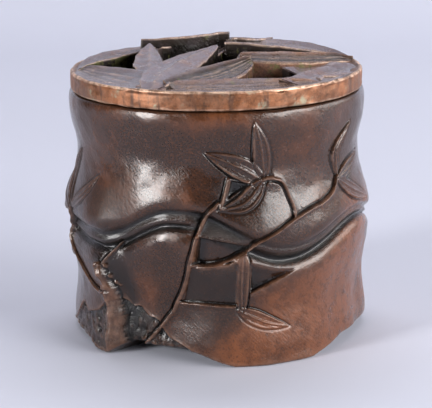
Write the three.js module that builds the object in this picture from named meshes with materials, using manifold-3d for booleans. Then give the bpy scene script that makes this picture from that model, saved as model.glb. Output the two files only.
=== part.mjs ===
// A small Japanese cast bronze incense burner with a pierced lid, in millimetres, +Z up.
// The origin is on the surface it stands on, at the middle of the foot. The front faces -Y.
// Angles on the wall are bearings in degrees: 0 at the front, growing towards +X.
import * as THREE from "three";
import { mergeVertices } from "three/addons/utils/BufferGeometryUtils.js";
import Module from "manifold-3d";

const wasm = await Module();
wasm.setup();

// Vessel wall
const MOUTH_RADIUS = 33.6; // outside of the wall just under its rounded lip
const LIP_HEIGHT = 2.6; // how far below the mouth the wall starts to round over
const LIP_DROP = 0.7; // how far that draws the lip in
const WAIST_INSET = 1.5; // how far the upper waist lies inside the mouth
const BULGE = 1.3; // how far the swelling on both sides of the node stands outside the mouth
const LOWER_WAIST_INSET = 0.2;
const FOOT_FLARE = 0.6; // how far the foot stands outside the mouth
const CURVE_EASE = 0.25; // how much the wall has turned back a little beside a bulge or waist
const BODY_HEIGHT = 56.3;
const WALL = 3.6;
const VALLEY_DEPTH = 4.6; // how far the deepest valley between lobes is drawn in
const ARCH_RISE = 3.3; // rise of the highest arch of the foot
const NODE_HEIGHT = 27.4; // the node line where it hangs lowest, under a lobe
const NODE_CLIMB = 8.2; // how far the node line climbs in the deepest valley
const NODE_GROOVE_DEPTH = 2.3;
const NODE_GROOVE_WIDTH = 0.95;
const NODE_LINE_DROP = 1.2; // from the node line down to the upper groove
const NODE_GROOVE_PITCH = 2.9; // from the upper groove to the lower one
const FOOT_FLAT = 0.35; // how much of an arch's rise, at its ends, stays flat on the ground
const FLOOR_HEIGHT = 5.2; // inside floor ledge above the foot
const BOWL_RADIUS = 29.6; // widest that the bowl gets below the mouth bore
const FLOOR_ROUNDING = 1.2; // how much narrower the bowl is at its floor
const MOUTH_BORE_RADIUS = 28.2;
const MOUTH_BORE_DEPTH = 6.5;

// Base plate, let into the foot from below
const PLATE_RADIUS = 23.5;
const PLATE_THICKNESS = 1.8;
const PLATE_LEDGE = 1.8; // width of the ledge that the plate seats on
const PLATE_RIM = 2.5; // flat rim under the plate
const PLATE_DISH = 0.3; // how deep the plate is dished inside that rim
const PLATE_DISH_SLOPE = 1.5;
const PLATE_CLEARANCE = 0.3;
const RECESS_LIFT = 1; // the most that an arch of the foot cuts into the plate's recess

// Lid
const SEAM = 0.3; // dark line between wall and lid
const LID_RADIUS = 33.0;
const LID_BAND_HEIGHT = 4.4;
const LID_BAND_WIDTH = 2.6;
const LID_LEDGE_THICKNESS = 1.2; // the inward ledge under the leaves, which carries the collar
const LID_EDGE_ROUND = 0.5;
const LEAF_RISE = 3.8; // how far the highest leaf stands over the band
const LEAF_RIB = 0.25; // how far a leaf's two ribs stand over its midrib and its edges
const LEAF_SET_IN = 0.4; // how far the leaves end inside the outside of the band
const OPENWORK_DEPTH = 3.3; // from the top of the band to the underside of the leaves
const COLLAR_CLEARANCE = 0.4;
const COLLAR_WIDTH = 1.8;
const COLLAR_DEPTH = 4.6;
const COLLAR_CHAMFER = 0.5;

// Relief on the wall
const LEAF_RELIEF = 0.6;
const MIDRIB_GROOVE = 0.3;
const STEM_RELIEF = 0.7;
const CULM_RELIEF = 2.0;
const LEAST_HALF_WIDTH = 0.12; // at the tip of a leaf
const RELIEF_DIP = 0.45; // share of the groove depth that the relief follows
const RELIEF_ROOT = 2.7; // how far relief is rooted in the wall, deeper than the node's grooves

const WALL_SIDES = 72;
const SILHOUETTE_STEPS = 160;
const LEAF_STEPS = 5;
const EXTRA_STEM_STEPS = 3;
const LID_SIDES = 72;
const LID_LEAF_STEPS = 6;
const BRONZE = new THREE.MeshStandardMaterial({ color: 0x3a2218, roughness: 0.38, metalness: 0.75 });
const RUBBED_BRONZE = new THREE.MeshStandardMaterial({ color: 0x7a4a30, roughness: 0.42, metalness: 0.8 });
const AGED_BRONZE = new THREE.MeshStandardMaterial({ color: 0x2c241c, roughness: 0.6, metalness: 0.6 });

const LID_UNDER = BODY_HEIGHT + SEAM;
const LID_TOP = LID_UNDER + LID_BAND_HEIGHT;
const PLATE_TOP = FLOOR_HEIGHT - PLATE_LEDGE;
const COLLAR_RADIUS = MOUTH_BORE_RADIUS - COLLAR_CLEARANCE;

// The trunk is lobed. Between lobes its wall is drawn in, its foot is arched off the ground and
// the node line climbs. A span gives the bearings where that starts, is full, stops being full
// and ends, past 180 counting on around the back, and its share of the full amount.
const DRAWN_IN = [
  { span: [-50, -38, -24, 14], part: 1 },
  { span: [-4, 14, 30, 48], part: 0.2 },
  { span: [32, 54, 72, 92], part: 0.39 },
  { span: [112, 130, 140, 162], part: 0.65 },
  { span: [170, 192, 204, 226], part: 0.57 },
  { span: [258, 280, 292, 308], part: 0.26 },
];
const DRAWN_IN_TOP = 0.8; // share of the height above which the wall is round again
const FOOT_ARCHES = [
  { span: [-51, -40, -16, 12], part: 1 },
  { span: [32, 60, 104, 128], part: 0.73 },
  { span: [172, 190, 206, 224], part: 0.55 },
  { span: [260, 278, 294, 308], part: 0.33 },
];
const NODE_CLIMBS = [
  { span: [-50, -18, -12, 26], part: 1 },
  { span: [-100, -72, -56, -20], part: 0.21 },
  { span: [28, 62, 66, 100], part: 0.55 },
  { span: [104, 126, 134, 162], part: 0.54 },
  { span: [170, 194, 202, 228], part: 0.41 },
  { span: [228, 240, 248, 260], part: 0.2 },
];
// Where the node's grooves and bead run closer together, by this share, and get shallower.
const NODE_PINCHES = [
  { span: [44, 84, 104, 140], part: 0.45 },
  { span: [-130, -100, -84, -58], part: 0.3 },
];
const PINCH_SHALLOWS = 0.6; // share of a pinch that the grooves also lose in depth

const { degToRad, lerp, clamp, smoothstep, euclideanModulo } = THREE.MathUtils;

// The sum of the spans that hold a bearing, each rising smoothly to its full part.
function spread(spans, bearing) {
  return spans.reduce((sum, { span: [start, full, fullEnd, end], part }) => {
    const along = start + euclideanModulo(bearing - start, 360);
    return sum + part * smoothstep(along, start, full) * (1 - smoothstep(along, fullEnd, end));
  }, 0);
}

const nodeHeight = (bearing) => NODE_HEIGHT + NODE_CLIMB * spread(NODE_CLIMBS, bearing);
const nodeWidth = (bearing) => 1 - spread(NODE_PINCHES, bearing);
const footLift = (bearing) => Math.max(0, ARCH_RISE * spread(FOOT_ARCHES, bearing) - FOOT_FLAT);
const bell = (x) => Math.exp(-x * x);

// The wall's outside before the node's grooves are cut: a curve through a few stations.
const BULGE_RADIUS = MOUTH_RADIUS + BULGE;
const WAIST_RADIUS = MOUTH_RADIUS - WAIST_INSET;
const LOWER_WAIST_RADIUS = MOUTH_RADIUS - LOWER_WAIST_INSET;
const FOOT_RADIUS = MOUTH_RADIUS + FOOT_FLARE;
const SILHOUETTE = new THREE.CatmullRomCurve3(
  [
    [FOOT_RADIUS, 0],
    [FOOT_RADIUS, 0.08 * BODY_HEIGHT],
    [LOWER_WAIST_RADIUS, 0.24 * BODY_HEIGHT],
    [BULGE_RADIUS - CURVE_EASE, 0.4 * BODY_HEIGHT],
    [BULGE_RADIUS, 0.54 * BODY_HEIGHT],
    [WAIST_RADIUS + CURVE_EASE, 0.71 * BODY_HEIGHT],
    [WAIST_RADIUS, 0.78 * BODY_HEIGHT],
    [MOUTH_RADIUS - CURVE_EASE, 0.91 * BODY_HEIGHT],
    [MOUTH_RADIUS, BODY_HEIGHT],
  ].map(([radius, height]) => new THREE.Vector3(radius, 0, height)),
).getPoints(SILHOUETTE_STEPS);

function silhouetteRadius(height) {
  const above = SILHOUETTE.findIndex((point) => point.z >= height);
  if (above <= 0) return SILHOUETTE[above === 0 ? 0 : SILHOUETTE.length - 1].x;
  const [low, high] = [SILHOUETTE[above - 1], SILHOUETTE[above]];
  return THREE.MathUtils.mapLinear(height, low.z, high.z, low.x, high.x);
}

// Radius of the plain wall, with its lobes, at a bearing and a height.
function lobedRadius(bearing, height) {
  const drawnIn = VALLEY_DEPTH * spread(DRAWN_IN, bearing);
  return silhouetteRadius(height) - drawnIn * (1 - smoothstep(height / BODY_HEIGHT, 0, DRAWN_IN_TOP));
}

// How deep the two grooves of the node, with the bead between them, go into the wall.
function grooveDepth(bearing, height) {
  const width = nodeWidth(bearing);
  const below = (nodeHeight(bearing) - height) / width - NODE_LINE_DROP;
  const upper = bell(below / NODE_GROOVE_WIDTH);
  const lower = bell((below - NODE_GROOVE_PITCH) / NODE_GROOVE_WIDTH);
  return NODE_GROOVE_DEPTH * (upper + lower) * lerp(1, width, PINCH_SHALLOWS);
}

// How far the wall rounds inwards to its lip.
function lipRounding(height) {
  const intoLip = Math.max(0, 1 - (BODY_HEIGHT - height) / LIP_HEIGHT);
  return LIP_DROP * intoLip ** 2;
}

function place(bearing, radius, height) {
  const angle = degToRad(bearing);
  return new THREE.Vector3(radius * Math.sin(angle), -radius * Math.cos(angle), height);
}

function wallPoint(bearing, height) {
  const cut = grooveDepth(bearing, height) + lipRounding(height);
  return place(bearing, lobedRadius(bearing, height) - cut, height);
}

// A point of the relief, which dips into the grooves less than the wall does.
function reliefPoint(bearing, height, stand) {
  const dip = RELIEF_DIP * grooveDepth(bearing, height);
  return place(bearing, lobedRadius(bearing, height) - dip + stand, height);
}

// Joins closed loops of points, each with as many points, into one closed surface.
// With endless true the last loop meets the first; otherwise both ends are capped.
function skin(loops, endless = false) {
  const sides = loops[0].length;
  const points = loops.flat();
  const faces = [];
  const steps = endless ? loops.length : loops.length - 1;
  for (let i = 0; i < steps; i++) {
    const next = (i + 1) % loops.length;
    for (let j = 0; j < sides; j++) {
      const k = (j + 1) % sides;
      const [a, b, c, d] = [i * sides + j, i * sides + k, next * sides + k, next * sides + j];
      faces.push(a, b, c, a, c, d);
    }
  }
  if (!endless) {
    [loops[0], loops.at(-1)].forEach((loop, end) => {
      const middle = points.length;
      points.push(loop.reduce((sum, p) => sum.add(p), new THREE.Vector3()).divideScalar(sides));
      const first = end ? (loops.length - 1) * sides : 0;
      for (let j = 0; j < sides; j++) {
        const [a, b] = [first + j, first + ((j + 1) % sides)];
        if (end) faces.push(a, b, middle);
        else faces.push(b, a, middle);
      }
    });
  }
  const geometry = new THREE.BufferGeometry().setFromPoints(points);
  geometry.setIndex(faces);
  return geometry;
}

// A three.js geometry as a manifold-3d solid, turned the right way out.
function solidOf(geometry) {
  const plain = geometry.clone();
  plain.deleteAttribute("normal");
  plain.deleteAttribute("uv");
  const merged = mergeVertices(plain, 1e-4);
  const triVerts = new Uint32Array(merged.index.array);
  const build = () =>
    new wasm.Manifold(
      new wasm.Mesh({ numProp: 3, vertProperties: merged.attributes.position.array, triVerts }),
    );
  const made = build();
  if (made.volume() > 0) return made;
  for (let i = 0; i < triVerts.length; i += 3) {
    [triVerts[i + 1], triVerts[i + 2]] = [triVerts[i + 2], triVerts[i + 1]];
  }
  return build();
}

function namedMesh(name, solid, material) {
  const { vertProperties, triVerts } = solid.getMesh();
  const geometry = new THREE.BufferGeometry();
  geometry.setAttribute("position", new THREE.BufferAttribute(new Float32Array(vertProperties), 3));
  geometry.setIndex(new THREE.BufferAttribute(new Uint32Array(triVerts), 1));
  const flat = geometry.toNonIndexed();
  flat.computeVertexNormals();
  const mesh = new THREE.Mesh(flat, material);
  mesh.name = name;
  return mesh;
}

// A closed profile of [radius, height] points, turned about the middle axis.
function turned(profile) {
  const points = profile.map(([radius, height]) => new THREE.Vector2(radius, height));
  return solidOf(new THREE.LatheGeometry(points, LID_SIDES).rotateX(Math.PI / 2));
}

// The wall's rings of points outside: by share of the way from the foot up to the node, then by
// groove pitches over the node's upper groove, then by share of the way up to the mouth.
const FOOT_SHARES = [0, 0.1, 0.33, 0.64];
const NODE_RINGS = [-1.8, -1.45, -1.22, -1, -0.77, -0.5, -0.23, 0, 0.23, 0.47, 0.85];
const UPPER_SHARES = [0.25, 0.5, 0.7, 0.89, 0.96, 1];
const BOWL_SHARES = [0.84, 0.6, 0.3];

// The wall casting: rings of points up the outside, over the lip, and back down inside.
function wallShell() {
  const bearings = Array.from({ length: WALL_SIDES }, (_, i) => (i * 360) / WALL_SIDES);
  const ring = (at) => bearings.map(at);
  const nodeRing = (b, pitches) =>
    nodeHeight(b) + (pitches * NODE_GROOVE_PITCH - NODE_LINE_DROP) * nodeWidth(b);
  const loops = [];
  for (const share of FOOT_SHARES) {
    loops.push(ring((b) => wallPoint(b, lerp(footLift(b), nodeRing(b, NODE_RINGS[0]), share))));
  }
  for (const pitches of NODE_RINGS) {
    loops.push(ring((b) => wallPoint(b, nodeRing(b, pitches))));
  }
  for (const share of UPPER_SHARES) {
    loops.push(ring((b) => wallPoint(b, lerp(nodeRing(b, NODE_RINGS.at(-1)), BODY_HEIGHT, share))));
  }
  const inner = (height, radius) => loops.push(ring((b) => place(b, radius(b, height), height)));
  const bowl = (b, height) => Math.min(lobedRadius(b, height) - WALL, BOWL_RADIUS);
  inner(BODY_HEIGHT, () => MOUTH_BORE_RADIUS);
  inner(BODY_HEIGHT - MOUTH_BORE_DEPTH, () => MOUTH_BORE_RADIUS);
  for (const share of BOWL_SHARES) inner(share * BODY_HEIGHT, bowl);
  inner(FLOOR_HEIGHT, (b, height) => bowl(b, height) - FLOOR_ROUNDING);
  inner(FLOOR_HEIGHT, () => PLATE_RADIUS - PLATE_LEDGE);
  inner(PLATE_TOP, () => PLATE_RADIUS - PLATE_LEDGE);
  inner(PLATE_TOP, () => PLATE_RADIUS + PLATE_CLEARANCE);
  const recessRim = PLATE_RADIUS + PLATE_CLEARANCE;
  loops.push(ring((b) => place(b, recessRim, Math.min(footLift(b), RECESS_LIFT))));
  return solidOf(skin(loops, true));
}

const ofBody = (percent) => (percent / 100) * BODY_HEIGHT;

// A route on the wall, given as [bearing, height in percent] points, made smooth.
function wallRoute(points) {
  const curve = new THREE.CatmullRomCurve3(
    points.map(([bearing, height]) => new THREE.Vector3(bearing, ofBody(height), 0)),
  );
  return (share) => curve.getPoint(clamp(share, 0, 1));
}

const SLOPE_STEP = 0.02; // share of its length over which a route's direction is taken

// A strip of relief that follows the wall: halfWidth is a function of the share of its length,
// and across gives the height over its width as [place from -1 to 1, share of rise].
function reliefStrip(points, steps, halfWidth, rise, across) {
  const route = wallRoute(points);
  const scale = degToRad(1) * MOUTH_RADIUS; // millimetres for each degree of bearing
  const loops = [];
  for (let i = 0; i <= steps; i++) {
    const share = i / steps;
    const here = route(share);
    const ahead = route(share + SLOPE_STEP).sub(route(share - SLOPE_STEP));
    const side = new THREE.Vector2(-ahead.y, ahead.x * scale).normalize();
    const reach = halfWidth(share);
    const spot = (sideways) => [
      here.x + (side.x * sideways * reach) / scale,
      here.y + side.y * sideways * reach,
    ];
    const top = across.map(([sideways, part]) => reliefPoint(...spot(sideways), rise * part));
    const root = [1, -1].map((sideways) => {
      const [bearing, height] = spot(sideways);
      return place(bearing, lobedRadius(bearing, height) - RELIEF_ROOT, height);
    });
    loops.push([...top, ...root]);
  }
  return solidOf(skin(loops));
}

const LEAF_ACROSS = [[-1, 0.35], [-0.5, 1], [0, 1 - MIDRIB_GROOVE], [0.5, 1], [1, 0.35]];
const STEM_ACROSS = [[-1, 0.4], [0, 1], [1, 0.4]];

// A leaf is widest before its middle. Its outline is cut off a little at both ends.
const LEAF_BUTT = 0.06;
const LEAF_POINT = 0.01;
const LEAF_FULLNESS = 0.8;
function leafOutline(share) {
  const along = lerp(LEAF_BUTT, 1 - LEAF_POINT, share) ** LEAF_FULLNESS;
  return Math.sin(Math.PI * along) ** LEAF_FULLNESS;
}

function wallLeaf({ base, tip, bow = [0, 0], halfWidth }) {
  const middle = [0, 1].map((axis) => (base[axis] + tip[axis]) / 2 + bow[axis]);
  return reliefStrip(
    [base, middle, tip],
    LEAF_STEPS,
    (share) => Math.max(LEAST_HALF_WIDTH, ofBody(halfWidth) * leafOutline(share)),
    LEAF_RELIEF,
    LEAF_ACROSS,
  );
}

function wallStem({ points, from, to, rise = STEM_RELIEF }) {
  const steps = points.length + EXTRA_STEM_STEPS;
  return reliefStrip(points, steps, (share) => ofBody(lerp(from, to, share)), rise, STEM_ACROSS);
}

// Stems and leaves of the bamboo, on the whole way round. Points are [bearing, height], and
// heights and half widths are in percent of the body's height.
const STEMS = [
  {
    points: [[-35, 4.3], [-24, 15.3], [-16, 27], [-10.2, 43.3], [-5.4, 58.3], [0.6, 65.4]],
    from: 1.24,
    to: 1.07,
  },
  { points: [[1.2, 63.9], [2.6, 68.9], [4, 74.4]], from: 1.07, to: 0.8 },
  {
    points: [[-9.6, 41.2], [4.2, 43.3], [16.9, 51.3], [29.5, 58.1], [41.2, 61.5], [53.6, 70.2]],
    from: 0.89,
    to: 0.98,
  },
  { points: [[29.3, 58.4], [27.8, 66.6], [22.5, 73.5], [17.4, 73.9]], from: 0.8, to: 0.89 },
  { points: [[-15.8, 24.5], [6.2, 24.5]], from: 0.8, to: 0.8 },
  { points: [[-46.6, 25.2], [-61.8, 29], [-77.6, 40.5], [-74.3, 54.4]], from: 1.07, to: 0.89 },
  { points: [[-48.4, 35.5], [-40.4, 46.9]], from: 1.07, to: 0.53 },
  { points: [[150, 5.3], [156, 21.3], [152, 39.1], [160, 56.8], [170, 71]], from: 1.78, to: 1.07 },
  { points: [[154, 45.5], [142, 55.1], [118, 71]], from: 1.07, to: 0.89 },
  { points: [[155, 30.2], [176, 35.5], [196, 40.9]], from: 1.07, to: 0.89 },
  { points: [[236, 7.1], [229, 24.9], [233, 44.4], [226, 60.4]], from: 1.42, to: 0.89 },
];
const CULM = {
  points: [[-45.7, 2.1], [-45.4, 14.7], [-50.3, 37.3]],
  from: 3.55,
  to: 2.58,
  rise: CULM_RELIEF,
};
const LEAVES = [
  { base: [18, 73.9], tip: [13.8, 96.3], halfWidth: 3.7 },
  { base: [17.6, 73.2], tip: [-5, 84.9], bow: [1.5, 0], halfWidth: 4.4 },
  { base: [17.4, 73.2], tip: [0.2, 62.9], bow: [1.3, -2.5], halfWidth: 3.6 },
  { base: [53.6, 70.3], tip: [61.4, 90.6], bow: [-4, 0], halfWidth: 2.8 },
  { base: [55, 68.9], tip: [75, 76.4], bow: [1, 0], halfWidth: 3.4 },
  { base: [54.2, 68.6], tip: [79, 56.1], bow: [-2, 0], halfWidth: 3.2 },
  { base: [8.8, 45.1], tip: [8.7, 22.7], halfWidth: 2.8 },
  { base: [7.6, 22.9], tip: [27.3, 14.9], bow: [0.5, -1.2], halfWidth: 3.1 },
  { base: [-74, 54.9], tip: [-52.9, 71.8], bow: [2, 0], halfWidth: 2.5 },
  { base: [-76, 54.4], tip: [-68.5, 79.9], bow: [-6, 0], halfWidth: 3.6 },
  { base: [-77, 53.3], tip: [-101, 67.5], bow: [-2, 0], halfWidth: 3.9 },
  { base: [-77.5, 41.6], tip: [-98, 26.6], bow: [-2, 0], halfWidth: 3.7 },
  { base: [170, 71.8], tip: [150, 87], bow: [-1, 0], halfWidth: 4.1 },
  { base: [170.5, 72.1], tip: [178, 94.1], bow: [1, 0], halfWidth: 3.9 },
  { base: [171, 71], tip: [194, 78.2], bow: [1, 0], halfWidth: 4.3 },
  { base: [118, 71.4], tip: [100, 81.7], bow: [-1, 0], halfWidth: 4.1 },
  { base: [118, 71], tip: [98, 58.6], bow: [-1, 0], halfWidth: 4.1 },
  { base: [196, 40.9], tip: [216, 33.7], bow: [1, 0], halfWidth: 3.9 },
  { base: [226, 60.7], tip: [208, 74.6], bow: [-1, 0], halfWidth: 3.9 },
  { base: [225.6, 61.5], tip: [232, 85.3], bow: [2, 0], halfWidth: 3.9 },
];

function vesselBody() {
  const relief = [...STEMS.map(wallStem), wallStem(CULM), ...LEAVES.map(wallLeaf)];
  return wallShell().add(wasm.Manifold.union(relief));
}

// The plate that closes the foot, slightly dished underneath so that it stays off the surface.
function basePlate() {
  const under = PLATE_TOP - PLATE_THICKNESS;
  const rim = PLATE_RADIUS - PLATE_RIM;
  return turned([
    [0, under + PLATE_DISH],
    [rim - PLATE_DISH_SLOPE, under + PLATE_DISH],
    [rim, under],
    [PLATE_RADIUS, under],
    [PLATE_RADIUS, PLATE_TOP],
    [0, PLATE_TOP],
  ]);
}

// The ring of the lid, with its outer edges rounded over.
function lidBand() {
  const inside = LID_RADIUS - LID_BAND_WIDTH;
  const ledge = COLLAR_RADIUS - COLLAR_WIDTH;
  const corner = LID_EDGE_ROUND * (1 - Math.SQRT1_2);
  return turned([
    [ledge, LID_UNDER],
    [LID_RADIUS - LID_EDGE_ROUND, LID_UNDER],
    [LID_RADIUS, LID_UNDER + LID_EDGE_ROUND],
    [LID_RADIUS, LID_TOP - LID_EDGE_ROUND],
    [LID_RADIUS - corner, LID_TOP - corner],
    [LID_RADIUS - LID_EDGE_ROUND, LID_TOP],
    [inside, LID_TOP],
    [inside, LID_UNDER + LID_LEDGE_THICKNESS],
    [ledge, LID_UNDER + LID_LEDGE_THICKNESS],
    [ledge, LID_UNDER],
  ]);
}

const ofLid = (percent) => (percent / 100) * LID_RADIUS;

// The top of a lid leaf over its width: [place from -1 to 1, share of the rib's height].
const LID_LEAF_ACROSS = [[-1, -1], [-0.5, 0.4], [0, -0.8], [0.5, 0.4], [1, -1]];

// A leaf of the openwork: a thick blade with upright sides and a ridged top. Places in plan,
// the half width and the bow, which bends it to its left, are in percent of the lid's radius.
// Blunt keeps that share of its width at the base. Height is that of its crest over the band at
// each end and tilt raises its left edge, both as shares of the highest leaf's rise.
function lidLeaf({ base, tip, bow, half, height, tilt = 0, blunt = 0 }) {
  const from = new THREE.Vector2(...base.map(ofLid));
  const to = new THREE.Vector2(...tip.map(ofLid));
  const left = to.clone().sub(from).normalize().rotateAround(new THREE.Vector2(), Math.PI / 2);
  const loops = [];
  for (let i = 0; i <= LID_LEAF_STEPS; i++) {
    const share = i / LID_LEAF_STEPS;
    const bend = ofLid(bow) * Math.sin(Math.PI * share);
    const centre = from.clone().lerp(to, share).addScaledVector(left, bend);
    const width = ofLid(half) * Math.max(leafOutline(share), blunt * (1 - share));
    const crest = LID_TOP + LEAF_RISE * lerp(height[0], height[1], share);
    const at = (sideways, level) => {
      const spot = centre.clone().addScaledVector(left, sideways * Math.max(LEAST_HALF_WIDTH, width));
      return new THREE.Vector3(spot.x, spot.y, level);
    };
    const top = LID_LEAF_ACROSS.map(([sideways, rib]) =>
      at(sideways, crest + LEAF_RIB * rib + LEAF_RISE * tilt * sideways),
    );
    const under = [1, 0, -1].map((sideways) => at(sideways, LID_TOP - OPENWORK_DEPTH));
    loops.push([...top, ...under]);
  }
  return solidOf(skin(loops));
}

const LID_LEAVES = [
  // along the band: left front, front, right front, right, back right, back left
  { base: [-39, -82], tip: [-95, -2], bow: -1.2, half: 26.1, height: [0, 0.04], tilt: -0.16 },
  { base: [-52, -79], tip: [73, -61], bow: -6.7, half: 21.8, height: [-0.1, -0.1], tilt: -0.1, blunt: 0.4 },
  { base: [53, -68], tip: [96, 6], bow: -6.7, half: 17.6, height: [0, 0], tilt: 0.12, blunt: 0.8 },
  { base: [57, -30], tip: [100, -6], bow: 9.1, half: 26.1, height: [-0.13, 0], blunt: 0.95 },
  { base: [12, 62], tip: [94, 26], bow: 17, half: 17.6, height: [0.66, 0.08], tilt: -0.05, blunt: 0.7 },
  { base: [-42, 73], tip: [-98, -9], bow: -7.3, half: 12.7, height: [0.3, 0.05], tilt: 0.05 },
  // across the front: the long pale leaf, the short one behind it, the one beside it, the right one
  { base: [-42, -82], tip: [1, 30], bow: 7.9, half: 14.2, height: [0.03, 0.74] },
  { base: [-44, -33], tip: [-47, 46], bow: 0.6, half: 10.9, height: [-0.05, 0.66] },
  { base: [-30, -73], tip: [25, -3], bow: -4.8, half: 13.9, height: [-0.05, 0.36] },
  { base: [18, 2], tip: [96, 23], bow: -3.6, half: 11.8, height: [0.45, 0.1], blunt: 0.4 },
  // raised at the back
  { base: [5, 87], tip: [-54, 59], bow: -2.4, half: 12.7, height: [1, 0.8], blunt: 0.9 },
  { base: [9, 73], tip: [42, 91], bow: -0.6, half: 12.1, height: [0.86, 0.6], blunt: 0.7 },
  { base: [-42, 54], tip: [-33, 94], bow: 2.4, half: 10.9, height: [0.42, 0.05] },
  // low ones inside, which tie the others together
  { base: [21, 6], tip: [39, 76], bow: 3.6, half: 9.1, height: [0.1, 0.16] },
  { base: [6, 73], tip: [-12, 6], bow: -4.8, half: 7.9, height: [0.16, -0.2] },
];

function lidCover() {
  const reach = LID_RADIUS - LEAF_SET_IN;
  const over = LID_TOP + 2 * LEAF_RISE;
  const room = turned([[0, LID_UNDER], [reach, LID_UNDER], [reach, over], [0, over]]);
  return lidBand().add(wasm.Manifold.union(LID_LEAVES.map(lidLeaf)).intersect(room));
}

// The collar under the lid that drops into the mouth and stops the lid sliding off.
function lidCollar() {
  const inside = COLLAR_RADIUS - COLLAR_WIDTH;
  const foot = LID_UNDER - COLLAR_DEPTH;
  return turned([
    [inside, foot],
    [COLLAR_RADIUS - COLLAR_CHAMFER, foot],
    [COLLAR_RADIUS, foot + COLLAR_CHAMFER],
    [COLLAR_RADIUS, LID_UNDER],
    [inside, LID_UNDER],
    [inside, foot],
  ]);
}

const burner = new THREE.Group();
burner.name = "incense_burner";
burner.add(namedMesh("vessel_body", vesselBody(), BRONZE));
burner.add(namedMesh("base_plate", basePlate(), AGED_BRONZE));
const lid = new THREE.Group();
lid.name = "lid";
lid.add(namedMesh("lid_cover", lidCover(), RUBBED_BRONZE));
lid.add(namedMesh("lid_collar", lidCollar(), AGED_BRONZE));
burner.add(lid);

export default burner;
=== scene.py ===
# %% [markdown]
# # A small bronze incense burner
# The real object is cast bronze: a wall shaped like a lobed bamboo trunk, with stems and leaves
# in low relief, and a lid whose thick leaves leave gaps for the smoke. Both are covered by a
# dark, waxed patina that hands have rubbed brighter on every raised edge.
# The solid model gives the sizes, so it is loaded first and everything here is fitted to it.

# %% Load the frame
import math

import bpy
import numpy as np
from mathutils import Matrix, Vector


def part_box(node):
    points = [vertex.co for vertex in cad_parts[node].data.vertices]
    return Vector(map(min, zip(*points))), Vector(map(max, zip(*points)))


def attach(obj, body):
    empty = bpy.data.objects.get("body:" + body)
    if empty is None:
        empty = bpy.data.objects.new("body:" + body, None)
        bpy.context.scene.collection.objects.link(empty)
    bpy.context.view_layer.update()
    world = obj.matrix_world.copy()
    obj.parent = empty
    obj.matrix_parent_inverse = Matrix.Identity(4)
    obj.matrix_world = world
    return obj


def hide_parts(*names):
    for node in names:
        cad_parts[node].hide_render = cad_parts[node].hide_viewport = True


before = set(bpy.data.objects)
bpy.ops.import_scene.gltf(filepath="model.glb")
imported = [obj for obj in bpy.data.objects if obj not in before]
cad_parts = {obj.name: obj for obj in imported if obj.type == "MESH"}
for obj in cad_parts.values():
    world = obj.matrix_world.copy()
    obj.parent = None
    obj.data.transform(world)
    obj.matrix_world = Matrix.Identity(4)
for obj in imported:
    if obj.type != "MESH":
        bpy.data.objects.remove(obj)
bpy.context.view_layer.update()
MM = 0.001  # one millimetre in scene units

# %% [markdown]
# ## Camera
# The burner was photographed from close by, a little above its rim, so the camera is placed by
# its distance, its height over the lid and its tilt. A long lens keeps the upright sides
# nearly parallel. The small roll is the photographer's.

# %% Camera
CAMERA_DISTANCE = 380 * MM
CAMERA_OVER_LID = 63.2 * MM
CAMERA_TILT = math.radians(14.2)
CAMERA_ROLL = math.radians(-0.7)
IMAGE_WIDTH = 432
FOCAL_PIXELS = 1695
SHIFT_PIXELS = (1.8, 2.0)
SENSOR = 36

vessel_low, vessel_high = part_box("vessel_body")
cover_low, cover_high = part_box("lid_cover")
BODY_HEIGHT = vessel_high.z / MM
LID_UNDER = cover_low.z / MM
LID_BAND_HEIGHT = 4.4
LID_TOP = LID_UNDER + LID_BAND_HEIGHT

camera_data = bpy.data.cameras.new("camera")
camera_data.sensor_fit = "HORIZONTAL"
camera_data.sensor_width = SENSOR
camera_data.lens = FOCAL_PIXELS / IMAGE_WIDTH * SENSOR
camera_data.shift_x = -SHIFT_PIXELS[0] / IMAGE_WIDTH
camera_data.shift_y = SHIFT_PIXELS[1] / IMAGE_WIDTH
camera_data.clip_start = 0.01
camera = bpy.data.objects.new("camera", camera_data)
bpy.context.scene.collection.objects.link(camera)
camera_place = Matrix.Translation(Vector((0, -CAMERA_DISTANCE, LID_TOP * MM + CAMERA_OVER_LID)))
level_to_tilted = Matrix.Rotation(math.radians(90) - CAMERA_TILT, 4, "X")
camera.matrix_world = camera_place @ level_to_tilted @ Matrix.Rotation(CAMERA_ROLL, 4, "Z")
bpy.context.scene.camera = camera
print("lens", round(camera_data.lens, 1), "mm")

# %% [markdown]
# ## Small tools
# The wall is made as a field: for each bearing and height one radius. That suits a casting,
# because grooves, leaves and dents are all just heights to add, and they melt into each other
# as they do in wax. These helpers give smooth steps, smooth lines and slow, seeded noise.

# %% Steps, lines and noise
random = np.random.default_rng(7)
WAVES = 24


def smoothstep(x, low, high):
    share = np.clip((x - low) / (high - low), 0, 1)
    return share * share * (3 - 2 * share)


def bell(x):
    return np.exp(-x * x)


def smooth_line(stations, x):
    """A smooth curve through (x, y) stations, level outside them."""
    xs, ys = np.array(stations, float).T
    x = np.clip(x, xs[0], xs[-1])
    slope = np.gradient(ys, xs)
    i = np.clip(np.searchsorted(xs, x) - 1, 0, len(xs) - 2)
    width = xs[i + 1] - xs[i]
    t = (x - xs[i]) / width
    start = (2 * t**3 - 3 * t**2 + 1) * ys[i] + (t**3 - 2 * t**2 + t) * width * slope[i]
    end = (3 * t**2 - 2 * t**3) * ys[i + 1] + (t**3 - t**2) * width * slope[i + 1]
    return start + end


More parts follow.
